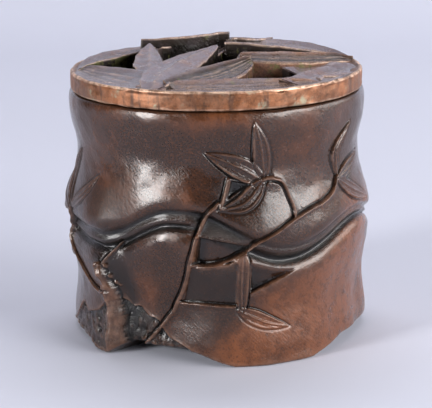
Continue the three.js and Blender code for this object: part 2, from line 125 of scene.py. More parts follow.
def slow_noise(x, y, size):
    """Sums of waves about as long as size, from -1 to 1 in the main."""
    total = np.zeros(np.broadcast(x, y).shape)
    for angle, phase, stretch in random.uniform((0, 0, 0.7), (math.pi, 2 * math.pi, 1.6), (WAVES, 3)):
        wave = 2 * math.pi / (size * stretch)
        total += np.sin(wave * (x * math.cos(angle) + y * math.sin(angle)) + phase)
    return total / math.sqrt(WAVES)


print("noise spread", round(float(slow_noise(np.arange(50.0), 0.0, 9).std()), 2))

# %% [markdown]
# ## The plain wall
# The trunk has lobes. Between them the wall is drawn in, the foot is arched off the table and
# the line of the bamboo's node rises, which gives the wavy ridge round the middle. A span says
# at which bearings that starts, is full, stops being full and ends. Bearing 0 is the front.

# %% Wall numbers
MOUTH_RADIUS = 33.6
WAIST_RADIUS = MOUTH_RADIUS - 1.5
BULGE_RADIUS = MOUTH_RADIUS + 1.3
LOWER_WAIST_RADIUS = MOUTH_RADIUS - 0.2
FOOT_RADIUS = MOUTH_RADIUS + 0.6
CURVE_EASE = 0.25  # how much the wall has turned back beside a bulge or waist
MOUTH_BORE_RADIUS = 28.2
NODE_HEIGHT = 27.4
FOOT_FLAT = 0.35
INSIDE_CAD = 0.05  # how far the fine surface keeps inside the solid one

DRAWN_IN = [
    (-50, -38, -24, 14, 4.6),
    (-4, 14, 30, 48, 0.9),
    (32, 54, 72, 92, 1.8),
    (112, 130, 140, 162, 3.0),
    (170, 192, 204, 226, 2.6),
    (258, 280, 292, 308, 1.2),
]
FOOT_ARCHES = [
    (-51, -40, -16, 12, 3.3),
    (32, 60, 104, 128, 2.4),
    (172, 190, 206, 224, 1.8),
    (260, 278, 294, 308, 1.1),
]
NODE_RISES = [
    (-50, -18, -12, 26, 8.2),
    (-100, -72, -56, -20, 1.7),
    (28, 62, 66, 100, 4.5),
    (104, 126, 134, 162, 4.4),
    (170, 194, 202, 228, 3.4),
    (228, 240, 248, 260, 1.6),
]
# radius by share of the height
SILHOUETTE = [
    (0, FOOT_RADIUS), (0.08, FOOT_RADIUS), (0.24, LOWER_WAIST_RADIUS), (0.4, BULGE_RADIUS - CURVE_EASE),
    (0.54, BULGE_RADIUS), (0.71, WAIST_RADIUS + CURVE_EASE), (0.78, WAIST_RADIUS),
    (0.91, MOUTH_RADIUS - CURVE_EASE), (1, MOUTH_RADIUS),
]
SILHOUETTE = [(share * BODY_HEIGHT, radius) for share, radius in SILHOUETTE]
# where the two grooves of the node run closer together, down to half their width
NODE_PINCHES = [
    (44, 84, 104, 140, 0.45),
    (-130, -100, -84, -58, 0.3),
]
# how deep the node is cut by distance below its line: two grooves with a bead that stands clear
CLEAR_BEAD = [
    (-2.0, 0), (-1.2, 0.08), (-0.5, 0.3), (0.1, 0.75), (0.7, 1.3), (1.3, 1.55), (1.9, 1.45), (2.6, 1.25),
    (3.2, 1.4), (3.7, 1.85), (4.2, 2.0), (4.7, 1.6), (5.1, 1.1), (5.6, 0.72), (6.2, 0.47), (6.9, 0.24),
    (7.7, 0.07), (8.5, 0),
]
# the bead leans against the upper swelling
LEANING_BEAD = [
    (-1.8, 0), (-1.0, 0.06), (-0.3, 0.2), (0.4, 0.6), (0.9, 0.9), (1.3, 0.92), (1.8, 0.85), (2.4, 1.15),
    (3.0, 1.7), (3.6, 2.1), (4.2, 2.2), (4.7, 1.8), (5.2, 1.2), (5.7, 0.78), (6.3, 0.5), (7.0, 0.25),
    (7.8, 0.07), (8.6, 0),
]
# no bead: one hollow opens into a long ramp that faces up
OPEN_RAMP = [
    (-1.6, 0), (-0.8, 0.1), (-0.1, 0.5), (0.6, 1.5), (1.2, 2.05), (1.8, 2.15), (2.6, 1.9), (3.6, 1.5),
    (4.6, 1.1), (5.4, 0.7), (6.2, 0.3), (7.0, 0.08), (7.8, 0),
]
# at which bearings it leans and opens
LEANING = [(0, 18, 58, 84, 1)]
OPENED = [(-13, -5, 4, 15, 1)]


def spread(spans, bearing):
    total = np.zeros_like(bearing, dtype=float)
    for start, full, full_end, end, amount in spans:
        along = start + np.mod(bearing - start, 360)
        total += amount * smoothstep(along, start, full) * (1 - smoothstep(along, full_end, end))
    return total


def foot_lift(bearing):
    return np.maximum(0, spread(FOOT_ARCHES, bearing) - FOOT_FLAT)


def node_line(bearing):
    return NODE_HEIGHT + spread(NODE_RISES, bearing)


def lobed_radius(bearing, height):
    share = np.clip(height / BODY_HEIGHT, 0, 1)
    inset = spread(DRAWN_IN, bearing) * (1 - smoothstep(share, 0, 0.8))
    return smooth_line(SILHOUETTE, height) - inset - INSIDE_CAD


print("radius over a lobe and in the deep valley, mm:",
      np.round(lobed_radius(np.array([22.0, -30.0]), np.array([10.0, 10.0])), 2))

# %% [markdown]
# ## The field of the wall
# A grid of bearings by heights with a step of about a fifth of a millimetre is as fine as the
# sharpest stem edge needs. `ground` is the wall's own radius, and `relief` collects what stands
# out of it or is cut into it.

# %% Grid
COLUMNS = 1120
ROWS = 300
bearings = np.linspace(-180, 180, COLUMNS, endpoint=False)
row_share = np.linspace(0, 1, ROWS)
BEARING, ROW = np.meshgrid(bearings, row_share, indexing="ij")
HEIGHT = foot_lift(BEARING) + ROW * (BODY_HEIGHT - foot_lift(BEARING))
ARC = math.radians(1) * MOUTH_RADIUS  # millimetres for each degree
node_width = 1 - spread(NODE_PINCHES, BEARING)
below_line = (node_line(BEARING) - HEIGHT) / node_width
leaning = spread(LEANING, BEARING)
opened = spread(OPENED, BEARING)
node_depth = smooth_line(CLEAR_BEAD, below_line)
for section, here in ((LEANING_BEAD, leaning), (OPEN_RAMP, opened)):
    node_depth = node_depth * (1 - here) + smooth_line(section, below_line) * here
node_depth *= 0.4 + 0.6 * node_width  # where it is pinched it is also shallower
ground = lobed_radius(BEARING, HEIGHT)
relief = -node_depth
print("grid step, mm:", round(360 / COLUMNS * ARC, 3), "by", round(BODY_HEIGHT / ROWS, 3))

# %% [markdown]
# ## Stems and leaves in relief
# A founder models these in wax, as strips pressed on the wall and undercut with a tool. Here
# each one is a line on the wall. For every grid point near it we find how far along the line
# and how far beside it the point is, and those two numbers are enough to draw a round stem or
# a ribbed leaf. One edge of each is cut free with a crevice and the other melts into the wall,
# as on the casting, where light from one side then draws a bright and a dark line.

# %% Lines on the wall
LINE_STEPS = 14
DEEPEST_BRIDGED = 2.4
culm_mask = np.zeros_like(relief)  # 1 on the old cane
plants = np.zeros_like(relief)  # 1 on stems and leaves
sunk = np.zeros_like(relief)  # 1 on ground that is cut down


def line_points(points):
    """A smooth route through (bearing, height) points, in millimetres on the wall."""
    points = np.array(points, float)
    share = np.arange(len(points), dtype=float)
    fine = np.linspace(0, len(points) - 1, LINE_STEPS * (len(points) - 1) + 1)
    bearing, height = [smooth_line(np.column_stack([share, column]), fine) for column in points.T]
    return np.column_stack([bearing * ARC, height])


def beside(line, margin, crisp):
    """Grid points near a line: their indices, distance along it, beside it on its crisp side, share
    of its length, and distance past its ends."""
    middle = (line[:, 0].min() + line[:, 0].max()) / 2
    across = (np.mod(BEARING * ARC - middle + 180 * ARC, 360 * ARC) - 180 * ARC) + middle
    near = (across > line[:, 0].min() - margin) & (across < line[:, 0].max() + margin)
    near &= (HEIGHT > line[:, 1].min() - margin) & (HEIGHT < line[:, 1].max() + margin)
    index = np.nonzero(near)
    spot = np.column_stack([across[index], HEIGHT[index]])
    step = np.diff(line, axis=0)
    length = np.hypot(*step.T)
    reach = np.concatenate([[0], np.cumsum(length)])
    tangent = np.gradient(line, reach, axis=0)
    tangent /= np.linalg.norm(tangent, axis=1)[:, None]
    gap = spot[:, None, :] - line[None, :, :]
    best = (gap**2).sum(axis=2).argmin(axis=1)
    to_spot = gap[np.arange(len(spot)), best]
    way = tangent[best]
    along = reach[best] + (to_spot * way).sum(axis=1)
    side = way[:, 0] * to_spot[:, 1] - way[:, 1] * to_spot[:, 0]
    share = np.clip(along / reach[-1], 0, 1)
    past = np.maximum(0, np.maximum(-along, along - reach[-1]))
    return index, along, side * crisp, share, past


def lay_over(index, cover, top, cut):
    """Lays a shape over the relief so far, and cuts into what is left beside it."""
    plants[index] = np.maximum(plants[index], cover)
    relief[index] = relief[index] * (1 - cover) + top * cover - cut * (1 - cover)


def patch(bearing, height, around, up):
    """1 at a place on the wall, fading over so many degrees round it and millimetres up and down."""
    turn = np.mod(BEARING - bearing + 180, 360) - 180
    return np.exp(-(turn / around) ** 2 - ((HEIGHT - height) / up) ** 2)


def followed(index):
    """What a stem or leaf bridges: it dips only half as deep as the grooves below it."""
    return 0.5 * relief[index].clip(-DEEPEST_BRIDGED, 0)


def add_stem(points, start_half, end_half, rise=0.5, crisp=1, crevice=0.7):
    """A thin ridge with a cut crevice on its crisp side (1 is left of its way) and a soft foot."""
    index, along, side, share, past = beside(line_points(points), 4, crisp)
    uneven = 1 + 0.09 * np.sin(1.1 * along + points[0][0])  # each stem swells at other places
    half = (start_half + (end_half - start_half) * share) * uneven
    inside = half - np.hypot(side, past)
    cover = smoothstep(inside, -0.1, 0.2)
    # a round top that leans to the crisp side, with a knot every 9.3 mm
    round_top = np.sqrt(np.clip(1 - (np.hypot(side - 0.15 * half, past) / (1.15 * half)) ** 2, 0, 1))
    knots = 0.1 * bell((np.mod(along + 2.1, 9.3) - 4.6) / 0.5)
    # the crevice lies just outside the crisp edge and the foot fades over 0.7 mm on the other side
    live = smoothstep(past, 0.5, 0)
    cut = crevice * live * bell((side - half - 0.2) / 0.24) * (0.85 + 0.15 * np.sin(0.9 * along))
    foot = -0.4 * rise * live * np.exp(-np.clip(-side - half, 0, 9) / 0.7) * (side < 0)
    lay_over(index, cover, followed(index) + 0.08 + (rise + knots) * round_top, cut + foot)
    return index, cover, along, side


def leaf_outline(share, fullness):
    """Half width by share of the length: pointed at both ends and widest before the middle."""
    share = np.clip(0.03 + 0.97 * share, 0, 1)
    return np.sin(math.pi * share**0.74) ** (0.85 / fullness)


# height across a leaf, from its soft edge at -1 over the midrib to its crisp edge at 1
LEAF_SECTION = [(-1, 0.0), (-0.88, 0.42), (-0.76, 0.5), (-0.6, 0.3), (-0.12, 0.52), (0, 0.8), (0.1, 0.5),
                (0.5, 0.34), (0.78, 0.62), (0.9, 1.0), (1, 0.8)]


def add_leaf(base, tip, bow=(0, 0), half=2.0, rise=0.55, crisp=1, crevice=0.45, fullness=1.0):
    """A leaf cut free along its crisp edge, with long facets, a midrib and fine veins."""
    middle = ((base[0] + tip[0]) / 2 + bow[0], (base[1] + tip[1]) / 2 + bow[1])
    index, _, side, share, past = beside(line_points([base, middle, tip]), half + 2, crisp)
    width = np.maximum(half * leaf_outline(share, fullness), 0.01)
    inside = width - np.hypot(side, past)
    cover = smoothstep(inside, -0.06, np.where(side > 0, 0.16, 0.4))  # steeper on the crisp side
    part = np.clip(side / width, -1, 1)
    veins = 0.05 * np.cos(2 * math.pi * side / 0.66) * (1 - part**4)
    # lower and cut less deep towards both ends
    ends = 0.35 + 0.65 * np.sin(math.pi * np.clip(0.08 + 0.84 * share, 0, 1)) ** 0.6
    cut_depth = np.where(side > 0, crevice, 0.4 * crevice) * ends
    cut = cut_depth * bell((inside + 0.2) / 0.22)
    top = rise * smooth_line(LEAF_SECTION, part) + veins
    lay_over(index, cover, followed(index) + top * ends, cut)


print("lines are smooth: a test line has", len(line_points([(0, 0), (10, 5), (20, 5)])), "points")

# %% [markdown]
# ### The rough ground at the foot
# Low on the wall the smooth skin ends in a scalloped edge, and rough, pitted rock shows below
# it. It is cut in first, so that the stems and the old cane grow over it.

# %% Rough ground
ROUGH_DEPTH = 0.7
ROUGH_TOP = [(-112, -2), (-100, -1), (-90, 2), (-79, 4.6), (-71, 8.8), (-62, 8.2), (-54, 9.8), (-47, 12.6),
             (-41.8, 13.2), (-39.3, 11.6), (-35.4, 11.8), (-31.4, 10.2), (-26.6, 9), (-23, 6.6),
             (-18, 4.8), (-12, 3.4), (-6, 1.5), (0, -2)]
ROUGH_TOP_BACK = [(118, -2), (128, 5), (140, 8), (150, 6), (162, 9), (176, 7), (188, 4), (198, -2)]


def rough_mask():
    """1 on the rough ground, which ends upwards in scallops, in front and behind."""
    scallop = 0.4 * np.abs(np.sin(math.radians(1) * BEARING * 17)) - 0.2
    mask = np.zeros_like(relief)
    for top_line, bearing in ((ROUGH_TOP, BEARING), (ROUGH_TOP_BACK, np.mod(BEARING, 360))):
        within = (bearing > top_line[0][0]) & (bearing < top_line[-1][0])
        under = smooth_line(top_line, bearing) + scallop - HEIGHT
        mask = np.maximum(mask, smoothstep(under, 0, 0.5) * within)
    return mask


rough = rough_mask()
# pebbles of two sizes, pits between them, and a lip where the smooth skin ends
pebbles = slow_noise(BEARING * ARC, HEIGHT, 1.6) * 0.07 + slow_noise(BEARING * ARC, HEIGHT, 3.6) * 0.16
pits = -0.3 * smoothstep(slow_noise(BEARING * ARC, HEIGHT, 2.1), 0.8, 1.5)
lip = 0.2 * bell((rough - 0.12) / 0.12) * (rough > 0)
relief += rough * (pebbles + pits - ROUGH_DEPTH) + lip
print("share of the wall that is rough:", round(float(rough.mean()), 3))

# %% [markdown]
# ### Planting the bamboo
# The lists give each stem's route and each leaf's base and tip as bearing and height. What lies
# underneath comes first: leaves, then the ground sunk between them, then the stems, and last the
# old broken cane at the left.

# %% Stems and leaves
# route, half width at its start and end, rise, crisp side and depth of the crevice
STEMS = [
    ([(-35, 2.4), (-29, 5.6), (-24, 8.6), (-19.2, 11.8)], 0.43, 0.55),
    ([(-19.2, 11.8), (-16, 15.2), (-12.9, 18.8), (-10.2, 24.4), (-7.6, 29.8)], 0.62, 0.47, 0.45),
    ([(-7.6, 29.8), (-5.4, 32.8), (-2.8, 35.2), (0.6, 36.8)], 0.43, 0.47, 0.65),
    ([(1.2, 36.0), (2.6, 38.8), (4.0, 41.9)], 0.43, 0.31, 0.65, 1, 0.4),
    ([(-9.6, 23.2), (-3.1, 23.2), (4.2, 24.4), (10.9, 26.4), (13.1, 27.7)], 0.27, 0.31, 0.4, 1, 0.8),
    ([(13.1, 27.7), (16.9, 28.9), (20.8, 30), (24.8, 31.3), (29.5, 32.7), (36.2, 34), (41.2, 34.6)],
     0.27, 0.35, 0.5, 1, 0.95),
    ([(41.2, 34.6), (46.7, 35.8), (50.3, 37.2), (53.6, 39.5)], 0.39, 0.39, 0.5, 1, 0.5),
    ([(29.3, 32.9), (29, 35.3), (27.8, 37.5), (25.7, 40.3), (22.5, 41.4), (17.4, 41.6)],
     0.31, 0.35, 0.55, 1, 0.6),
    ([(17.2, 41.4), (19, 41.7), (21, 41.7)], 0.51, 0.35, 0.6, 1, 0.2),
    ([(-15.8, 13.8), (-4.5, 14), (6.2, 13.8)], 0.27, 0.27, 0.35),
    ([(-46.6, 14.2), (-53.5, 14.3), (-61.8, 16.3), (-70, 18.9), (-77.6, 22.8), (-77, 26.8),
      (-74.3, 30.6)], 0.39, 0.31, 0.5, -1),
    ([(-48.4, 20), (-46.4, 22.2), (-43, 24.6), (-40.4, 26.4)], 0.43, 0.2),
    ([(150, 3), (156, 12), (152, 22), (160, 32), (170, 40)], 0.7, 0.39),
    ([(154, 25.6), (142, 31), (130, 35.6), (118, 40)], 0.39, 0.35),
    ([(155, 17), (166, 19.4), (180, 19.4), (196, 23)], 0.39, 0.35),
    ([(236, 4), (229, 14), (233, 25), (226, 34)], 0.58, 0.35),
]
# base, tip, bow, half width, rise, crisp side, depth of the crevice and fullness
LEAVES = [
    ((18, 41.6), (13.8, 54.2), (0.6, 0), 2.1, 0.5),
    ((17.6, 41.2), (-5, 47.8), (1.5, 0), 2.5),
    ((17.4, 41.2), (0.2, 35.4), (1.3, -1.4), 2.0, 0.65, -1),
    ((53.6, 39.6), (61.4, 51), (-4, 0), 1.6, 0.65),
    ((55, 38.8), (75, 43), (1, 0), 1.9),
    ((54.2, 38.6), (79, 31.6), (-2, 0), 1.8, 0.55, -1),
    ((8.8, 25.4), (8.7, 12.8), (-0.3, 0), 1.6, 0.5, 1, 0.6, 3.5),
    ((7.6, 12.9), (27.3, 8.4), (0.5, -0.7), 1.75, 0.5, 1, 0.4),
    ((-74, 30.9), (-52.9, 40.4), (2, 0), 1.4),
    ((-76, 30.6), (-68.5, 45), (-6, 0), 2.0),
    ((-77, 30), (-101, 38), (-2, 0), 2.2),
    ((-77.5, 23.4), (-98, 15), (-2, 0), 2.1),
    ((170, 40.4), (150, 49), (-1, 0), 2.3),
    ((170.5, 40.6), (178, 53), (1, 0), 2.2),
    ((171, 40), (194, 44), (1, 0), 2.4, 0.55, -1),
    ((118, 40.2), (100, 46), (-1, 0), 2.3),
    ((118, 40), (98, 33), (-1, 0), 2.3, 0.55, -1),
    ((196, 23), (216, 19), (1, 0), 2.2),
    ((226, 34.2), (208, 42), (-1, 0), 2.2),
    ((225.6, 34.6), (232, 48), (2, 0), 2.2),
]
CULM = [(-45.2, 0.4), (-45.4, 8.3), (-46.8, 14.2), (-50.0, 20.4)]
CANE_KNOBS = [(18.6, 0.45, 0.8), (15.4, 0.3, 0.6), (9, 0.2, 0.8)]  # place along the cane, height, size
# bearing, height, half width and rise of small broken twigs beside the top of the cane
THORNS = [(-45.6, 18.4, 0.7, 0.9), (-43.8, 17.0, 0.5, 0.6), (-46.4, 20.8, 0.55, 0.8), (-44.6, 15.6, 0.5, 0.5),
          (-42.6, 16.4, 0.35, 0.5)]


def add_culm():
    """The old cane: thick, knobbly at its broken top, and worn warm and bright."""
    index, cover, along, side = add_stem(CULM, 1.75, 1.35, rise=1.25, crisp=-1, crevice=0.8)
    knob = sum(high * bell((along - at) / size) for at, high, size in CANE_KNOBS)
    grooves = 0.06 * np.cos(side * 5.2 + 0.3 * along) + 0.06 * np.sin(0.7 * along + side)
    relief[index] += cover * (knob + grooves)
    culm_mask[index] = np.maximum(culm_mask[index], cover)


def add_thorns():
    for bearing, height, half, rise in THORNS:
        distance = np.hypot((BEARING - bearing) * ARC, HEIGHT - height)
        relief[...] += rise * bell(distance / half)


def sink_corner(corners, depth, soft_edge=0.5):
    """Cuts the ground inside (bearing, height) corners down to a depth; the last side may be soft."""
    share = np.ones(relief.shape)
    widths = [0.4] * (len(corners) - 1) + [soft_edge]
    for (b0, h0), (b1, h1), width in zip(corners, corners[1:] + corners[:1], widths):
        run, climb = (b1 - b0) * ARC, h1 - h0
        away = (run * (HEIGHT - h0) - climb * (BEARING - b0) * ARC) / math.hypot(run, climb)
        share = np.minimum(share, smoothstep(away, 0, width))
    relief[...] -= share * (relief + depth).clip(0)
    sunk[...] = np.maximum(sunk, share)


for leaf in LEAVES:
    add_leaf(*leaf)
sink_corner([(13.6, 40.5), (5.0, 41.8), (3.2, 37.4)], 0.75)
sink_corner([(-10.2, 22.6), (4.2, 23.6), (12.6, 27.2), (-8.4, 30)], 1.9, soft_edge=1.6)
sink_corner([(-14.6, 14.4), (6.4, 14.2), (7.4, 24.2), (-10.4, 22.8)], 0.35)
sink_corner([(11.9, 24.4), (11.7, 16.6), (31.5, 21.6)], 1.3, soft_edge=3.0)
for stem in STEMS:
    add_stem(*stem)
add_culm()
add_thorns()
print("stems", len(STEMS) + 1, "leaves", len(LEAVES), "highest relief, mm:", round(float(relief.max()), 2))

# %% [markdown]
# ### Hand work
# No cast wall is perfect. Long, shallow dents catch the light in soft patches, and small ones
# show where the wax was smoothed with a thumb.

# %% Dents and foot edge
FOOT_ROUND = 1.0
LIP_HEIGHT = 2.6
LIP_DROP = 0.7
# a low swelling at the left of the front, above the node, hollow over it and a little in its middle:
# (bearing, height, reach round, reach up, rise)
SWELLINGS = [(-25, 38.5, 22, 6, 0.75), (-25, 47, 22, 6, -0.5), (-26, 39.5, 9, 8, -0.22)]

relief += 0.13 * slow_noise(BEARING * ARC, HEIGHT, 16) + 0.035 * slow_noise(BEARING * ARC, HEIGHT, 4.5)
for *place, rise in SWELLINGS:
    relief += rise * patch(*place)
# both edges are rounded over, the lip less than the foot, and the foot is a little uneven
from_foot = HEIGHT - foot_lift(BEARING)
from_lip = BODY_HEIGHT - HEIGHT
edge_drop = FOOT_ROUND * (1 - np.sqrt(1 - np.clip(1 - from_foot / FOOT_ROUND, 0, 1) ** 2))
edge_drop += LIP_DROP * (1 - np.sqrt(1 - 0.96 * np.clip(1 - from_lip / LIP_HEIGHT, 0, 1) ** 2))
wobble = 0.25 * slow_noise(BEARING * ARC, 0 * HEIGHT, 9) * smoothstep(from_foot, 3, 0)
radius = ground + relief + wobble - edge_drop
print("outer radius, mm:", round(float(radius.min()), 2), "to", round(float(radius.max()), 2))

# %% [markdown]
# ## What the patina needs to know
# The finish is darker wherever wax and soot gather, and that darkening also paints the shade of
# the hollows; it is brighter wherever a cloth rubs. Both follow from the shape: compare each
# height with the average round it. Points below their surroundings are hollows, points above
# are edges. The two answers are kept on the mesh as attributes, which a material can read in any
# view, and so are a few places where the patina is warm, glossy or matt for reasons of its own,
# or painted darker: partly smoky patina, partly painted shade.

# %% Hollows and edges
def blurred(field, size):
    """Average over a soft disc of that size in mm; the grid meets itself round the back."""
    cells = max(1, round(size / (360 / COLUMNS * ARC)))
    result = field.copy()
    for _ in range(3):
        wide = np.concatenate([result[-cells:], result, result[:cells]])
        run = np.cumsum(np.concatenate([np.zeros((1, ROWS)), wide]), axis=0)
        result = (run[2 * cells + 1:] - run[:-2 * cells - 1]) / (2 * cells + 1)
        tall = np.pad(result, ((0, 0), (cells, cells)), mode="edge")
        run = np.cumsum(np.pad(tall, ((0, 0), (1, 0))), axis=1)
        result = (run[:, 2 * cells + 1:] - run[:, :-2 * cells - 1]) / (2 * cells + 1)
    return result


def share_over(value, start, span):
    """0 up to the start, rising to 1 over the span."""
    return np.clip((value - start) / span, 0, 1)


# mm round a point whose average its own height is compared with
FINE_SIZE = 0.5
BROAD_SIZE = 2.6
# where the patina has worn warm, and under zero where it is painted darker, partly as smoky patina and
# partly as painted shade: (bearing, height, reach round, reach up, amount)
WARM_PLACES = [
    (24, 3, 34, 8, 1.0), (50, 11, 34, 13, 1.0), (70, 24, 22, 12, 0.8), (-30, 15, 8, 6, 0.3),
    (0, 55.5, 75, 3.0, 0.5), (-12, 38, 9, 6, 0.8), (-50, 36, 12, 6, 0.3), (40, 46, 26, 8, 0.35),
    (130, 12, 50, 12, 0.7), (-150, 20, 40, 14, 0.6), (170, 40, 60, 12, 0.3),
    (-64, 28, 22, 9, -0.6), (-4, 12, 14, 8, -0.55), (2, 36, 10, 6, -0.5), (-75, 44, 14, 8, -0.4),
    (-46, 12, 9, 12, -0.6),
]
# where the wax has worn off to a matt surface, in the same way
MATT_PLACES = [(-46, 35, 11, 4.5, 1.0), (-66, 24, 16, 6, 0.7), (0, 12, 14, 7, 0.5), (-58, 8, 10, 8, 0.6)]

fine = radius - blurred(radius, FINE_SIZE)
broad = radius - blurred(radius, BROAD_SIZE)
# hollows are painted darker: partly the wax and soot that gather there, partly painted shade
hollow_patina_and_shade = np.clip(0.75 * share_over(-fine, 0.03, 0.3) + share_over(-broad, 0.1, 1.1), 0, 1)
edge = np.clip(share_over(fine, 0.05, 0.22) + 0.3 * share_over(broad, 0.2, 0.9), 0, 1)
warm = np.zeros_like(radius)
for *place, amount in WARM_PLACES:
    warm += amount * patch(*place)
warm = np.clip(warm, -0.6, 1)
# in the node the ground is dark and glossy, and no cloth rubs its edges; ground sunk between the
# plants is painted darker, partly as patina and partly as painted shade
bare = 1 - plants
in_node = smoothstep(below_line, -0.2, 0.5) * (1 - smoothstep(below_line, 5.0, 6.0)) * bare
hollow_patina_and_shade = np.maximum(hollow_patina_and_shade, np.maximum(0.15 * in_node, 0.65 * sunk * bare))
pebbled = np.maximum(rough, (0.7 + 0.3 * opened) * in_node)
edge *= 1 - 0.85 * smoothstep(below_line, -3.4, -1.2) * (1 - smoothstep(below_line, 5.4, 6.4)) * bare
# how thick the wax lies: glossy in the node, just below it and on the plants, and matt under zero
under_node = bare * smoothstep(below_line, 4.6, 6) * (1 - smoothstep(below_line, 6.8, 8.4))
gloss = (1 + 0.5 * opened) * in_node + under_node + 0.8 * plants
for *place, amount in MATT_PLACES:
    gloss -= amount * patch(*place) * (1 - in_node)
print("hollow share", round(float(hollow_patina_and_shade.mean()), 3), "edge share", round(float(edge.mean()), 3))

# %% [markdown]
# ## Building meshes
# One helper joins rings of points into a closed skin, for the wall and for everything turned or
# lofted later. The grid of the wall is finer than its smooth parts need, so Decimate thins it
# out and keeps the triangles where the relief is.

# %% Mesh helpers
MOST_TRIANGLES = 190000


def skin_faces(rings, sides, endless):
    """Quads between rings of points, each with as many sides."""
    ring, side = np.meshgrid(np.arange(rings if endless else rings - 1), np.arange(sides), indexing="ij")
    after, beyond = (ring + 1) % rings, (side + 1) % sides
    corners = [ring * sides + side, ring * sides + beyond, after * sides + beyond, after * sides + side]
    return np.stack(corners, axis=-1).reshape(-1, 4)


def mesh_piece(name, points, faces, attributes):
    mesh = bpy.data.meshes.new(name)
    mesh.from_pydata((np.asarray(points) * MM).tolist(), [], [list(face) for face in faces])
    for key, values in attributes.items():
        layer = mesh.attributes.new(key, "FLOAT", "POINT")
        layer.data.foreach_set("value", np.asarray(values, np.float32).ravel())
    mesh.validate()
    mesh.polygons.foreach_set("use_smooth", [True] * len(mesh.polygons))
    piece = bpy.data.objects.new(name, mesh)
    bpy.context.scene.collection.objects.link(piece)
    return piece


def thin_out(piece, most):
    """Collapses edges, the flattest first, until the piece has at most that many triangles."""
    count = sum(len(polygon.vertices) - 2 for polygon in piece.data.polygons)
    if count <= most:
        return
    modifier = piece.modifiers.new("thin", "DECIMATE")
    modifier.ratio = most / count
    bpy.context.view_layer.update()
    graph = bpy.context.evaluated_depsgraph_get()
    thinned = bpy.data.meshes.new_from_object(piece.evaluated_get(graph), depsgraph=graph)
    piece.modifiers.clear()
    piece.data = thinned
    piece.data.polygons.foreach_set("use_smooth", [True] * len(thinned.polygons))


def keep_inside(piece, low, high):
    """Puts back the points that thinning has moved a hair past the solid's box."""
    points = np.empty(len(piece.data.vertices) * 3)
    piece.data.vertices.foreach_get("co", points)
    points = np.clip(points.reshape(-1, 3), np.array(low), np.array(high))
    piece.data.vertices.foreach_set("co", points.ravel())


print("quads in a test skin:", len(skin_faces(3, 8, False)))

# %% [markdown]
# ### The vessel
# The outside is the grid. The same rings go on over the lip, down the mouth's bore and the bowl,
# over the floor and out through the recess for the base plate, so the wall is one closed skin.

# %% Vessel mesh
WALL = 3.6
PLATE_RADIUS = 23.5
PLATE_GAP = 0.3
plate_low, plate_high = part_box("base_plate")
PLATE_TOP = plate_high.z / MM
PLATE_LEDGE = 1.8
FLOOR_HEIGHT = PLATE_TOP + PLATE_LEDGE
MOUTH_BORE_DEPTH = 6.5
BOWL_RADIUS = MOUTH_BORE_RADIUS + 1.4
BOWL_RINGS = 26
# how far in from the bowl's wall and up from its floor the rings of its rounded corner lie
FLOOR_CORNER = [(0.3, 1.4), (0.9, 0.6), (1.8, 0.1)]


def ring_at(radii, heights):
    angle = np.radians(bearings)
    radii, heights = np.broadcast_to(radii, COLUMNS), np.broadcast_to(heights, COLUMNS)
    return np.column_stack([radii * np.sin(angle), -radii * np.cos(angle), heights])


def hollow_radius(height):
    return np.minimum(lobed_radius(bearings, np.full(COLUMNS, height)) - WALL, BOWL_RADIUS)


def build_vessel():
    rings = [ring_at(radius[:, row], HEIGHT[:, row]) for row in range(ROWS)]
    lift = np.minimum(foot_lift(bearings), 1)
    bore = MOUTH_BORE_RADIUS
    rings += [ring_at(bore + 0.4, BODY_HEIGHT), ring_at(bore + 0.1, BODY_HEIGHT - 0.15)]
    depths = np.linspace(BODY_HEIGHT - 0.5, BODY_HEIGHT - MOUTH_BORE_DEPTH, 6)
    rings += [ring_at(bore, height) for height in depths]
    for height in np.linspace(0.85 * BODY_HEIGHT, FLOOR_HEIGHT + 2.4, BOWL_RINGS):
        bumps = 0.1 * slow_noise(bearings * ARC, height, 7)
        rings.append(ring_at(hollow_radius(height) + bumps, height))
    rings += [ring_at(hollow_radius(FLOOR_HEIGHT) - inward, FLOOR_HEIGHT + up) for inward, up in FLOOR_CORNER]
    ledge, recess = PLATE_RADIUS - PLATE_LEDGE, PLATE_RADIUS + PLATE_GAP
    rings += [ring_at(ledge, FLOOR_HEIGHT), ring_at(ledge, PLATE_TOP)]
    rings += [ring_at(recess, PLATE_TOP), ring_at(recess, lift)]
    rings += [ring_at(PLATE_RADIUS + 3, foot_lift(bearings))]
    bare_inside = np.zeros((len(rings) - ROWS, COLUMNS))
    # painted shade inside the mouth, bowl and plate recess, weaker on the lip and the ring under the foot
    painted_shade_inside = bare_inside + 1
    painted_shade_inside[0:2] = 0.3
    painted_shade_inside[-1] = 0.4
    fields = {"edge": edge, "rough": pebbled, "cane": culm_mask, "warm": warm, "gloss": gloss}
    attributes = {key: np.concatenate([field.T, bare_inside]) for key, field in fields.items()}
    attributes["hollow_patina_and_shade"] = np.concatenate([hollow_patina_and_shade.T, 0.6 * painted_shade_inside])
    faces = skin_faces(len(rings), COLUMNS, True)
    points = np.clip(np.concatenate(rings), np.array(vessel_low) / MM, np.array(vessel_high) / MM)
    return mesh_piece("vessel_casting", points, faces, attributes)


vessel = build_vessel()
thin_out(vessel, MOST_TRIANGLES)
keep_inside(vessel, vessel_low, vessel_high)
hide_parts("vessel_body")
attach(vessel, "vessel")
print("vessel triangles:", sum(len(polygon.vertices) - 2 for polygon in vessel.data.polygons))

# %% [markdown]
# ## The lid
# The lid is a ring with leaves across it, cast in one piece and about as thick as a coin pile.
# Each leaf is lofted: a section with a sunk midrib on top and upright sides below, carried
# along a bowed line. Leaves simply run through each other, as they do in a casting.

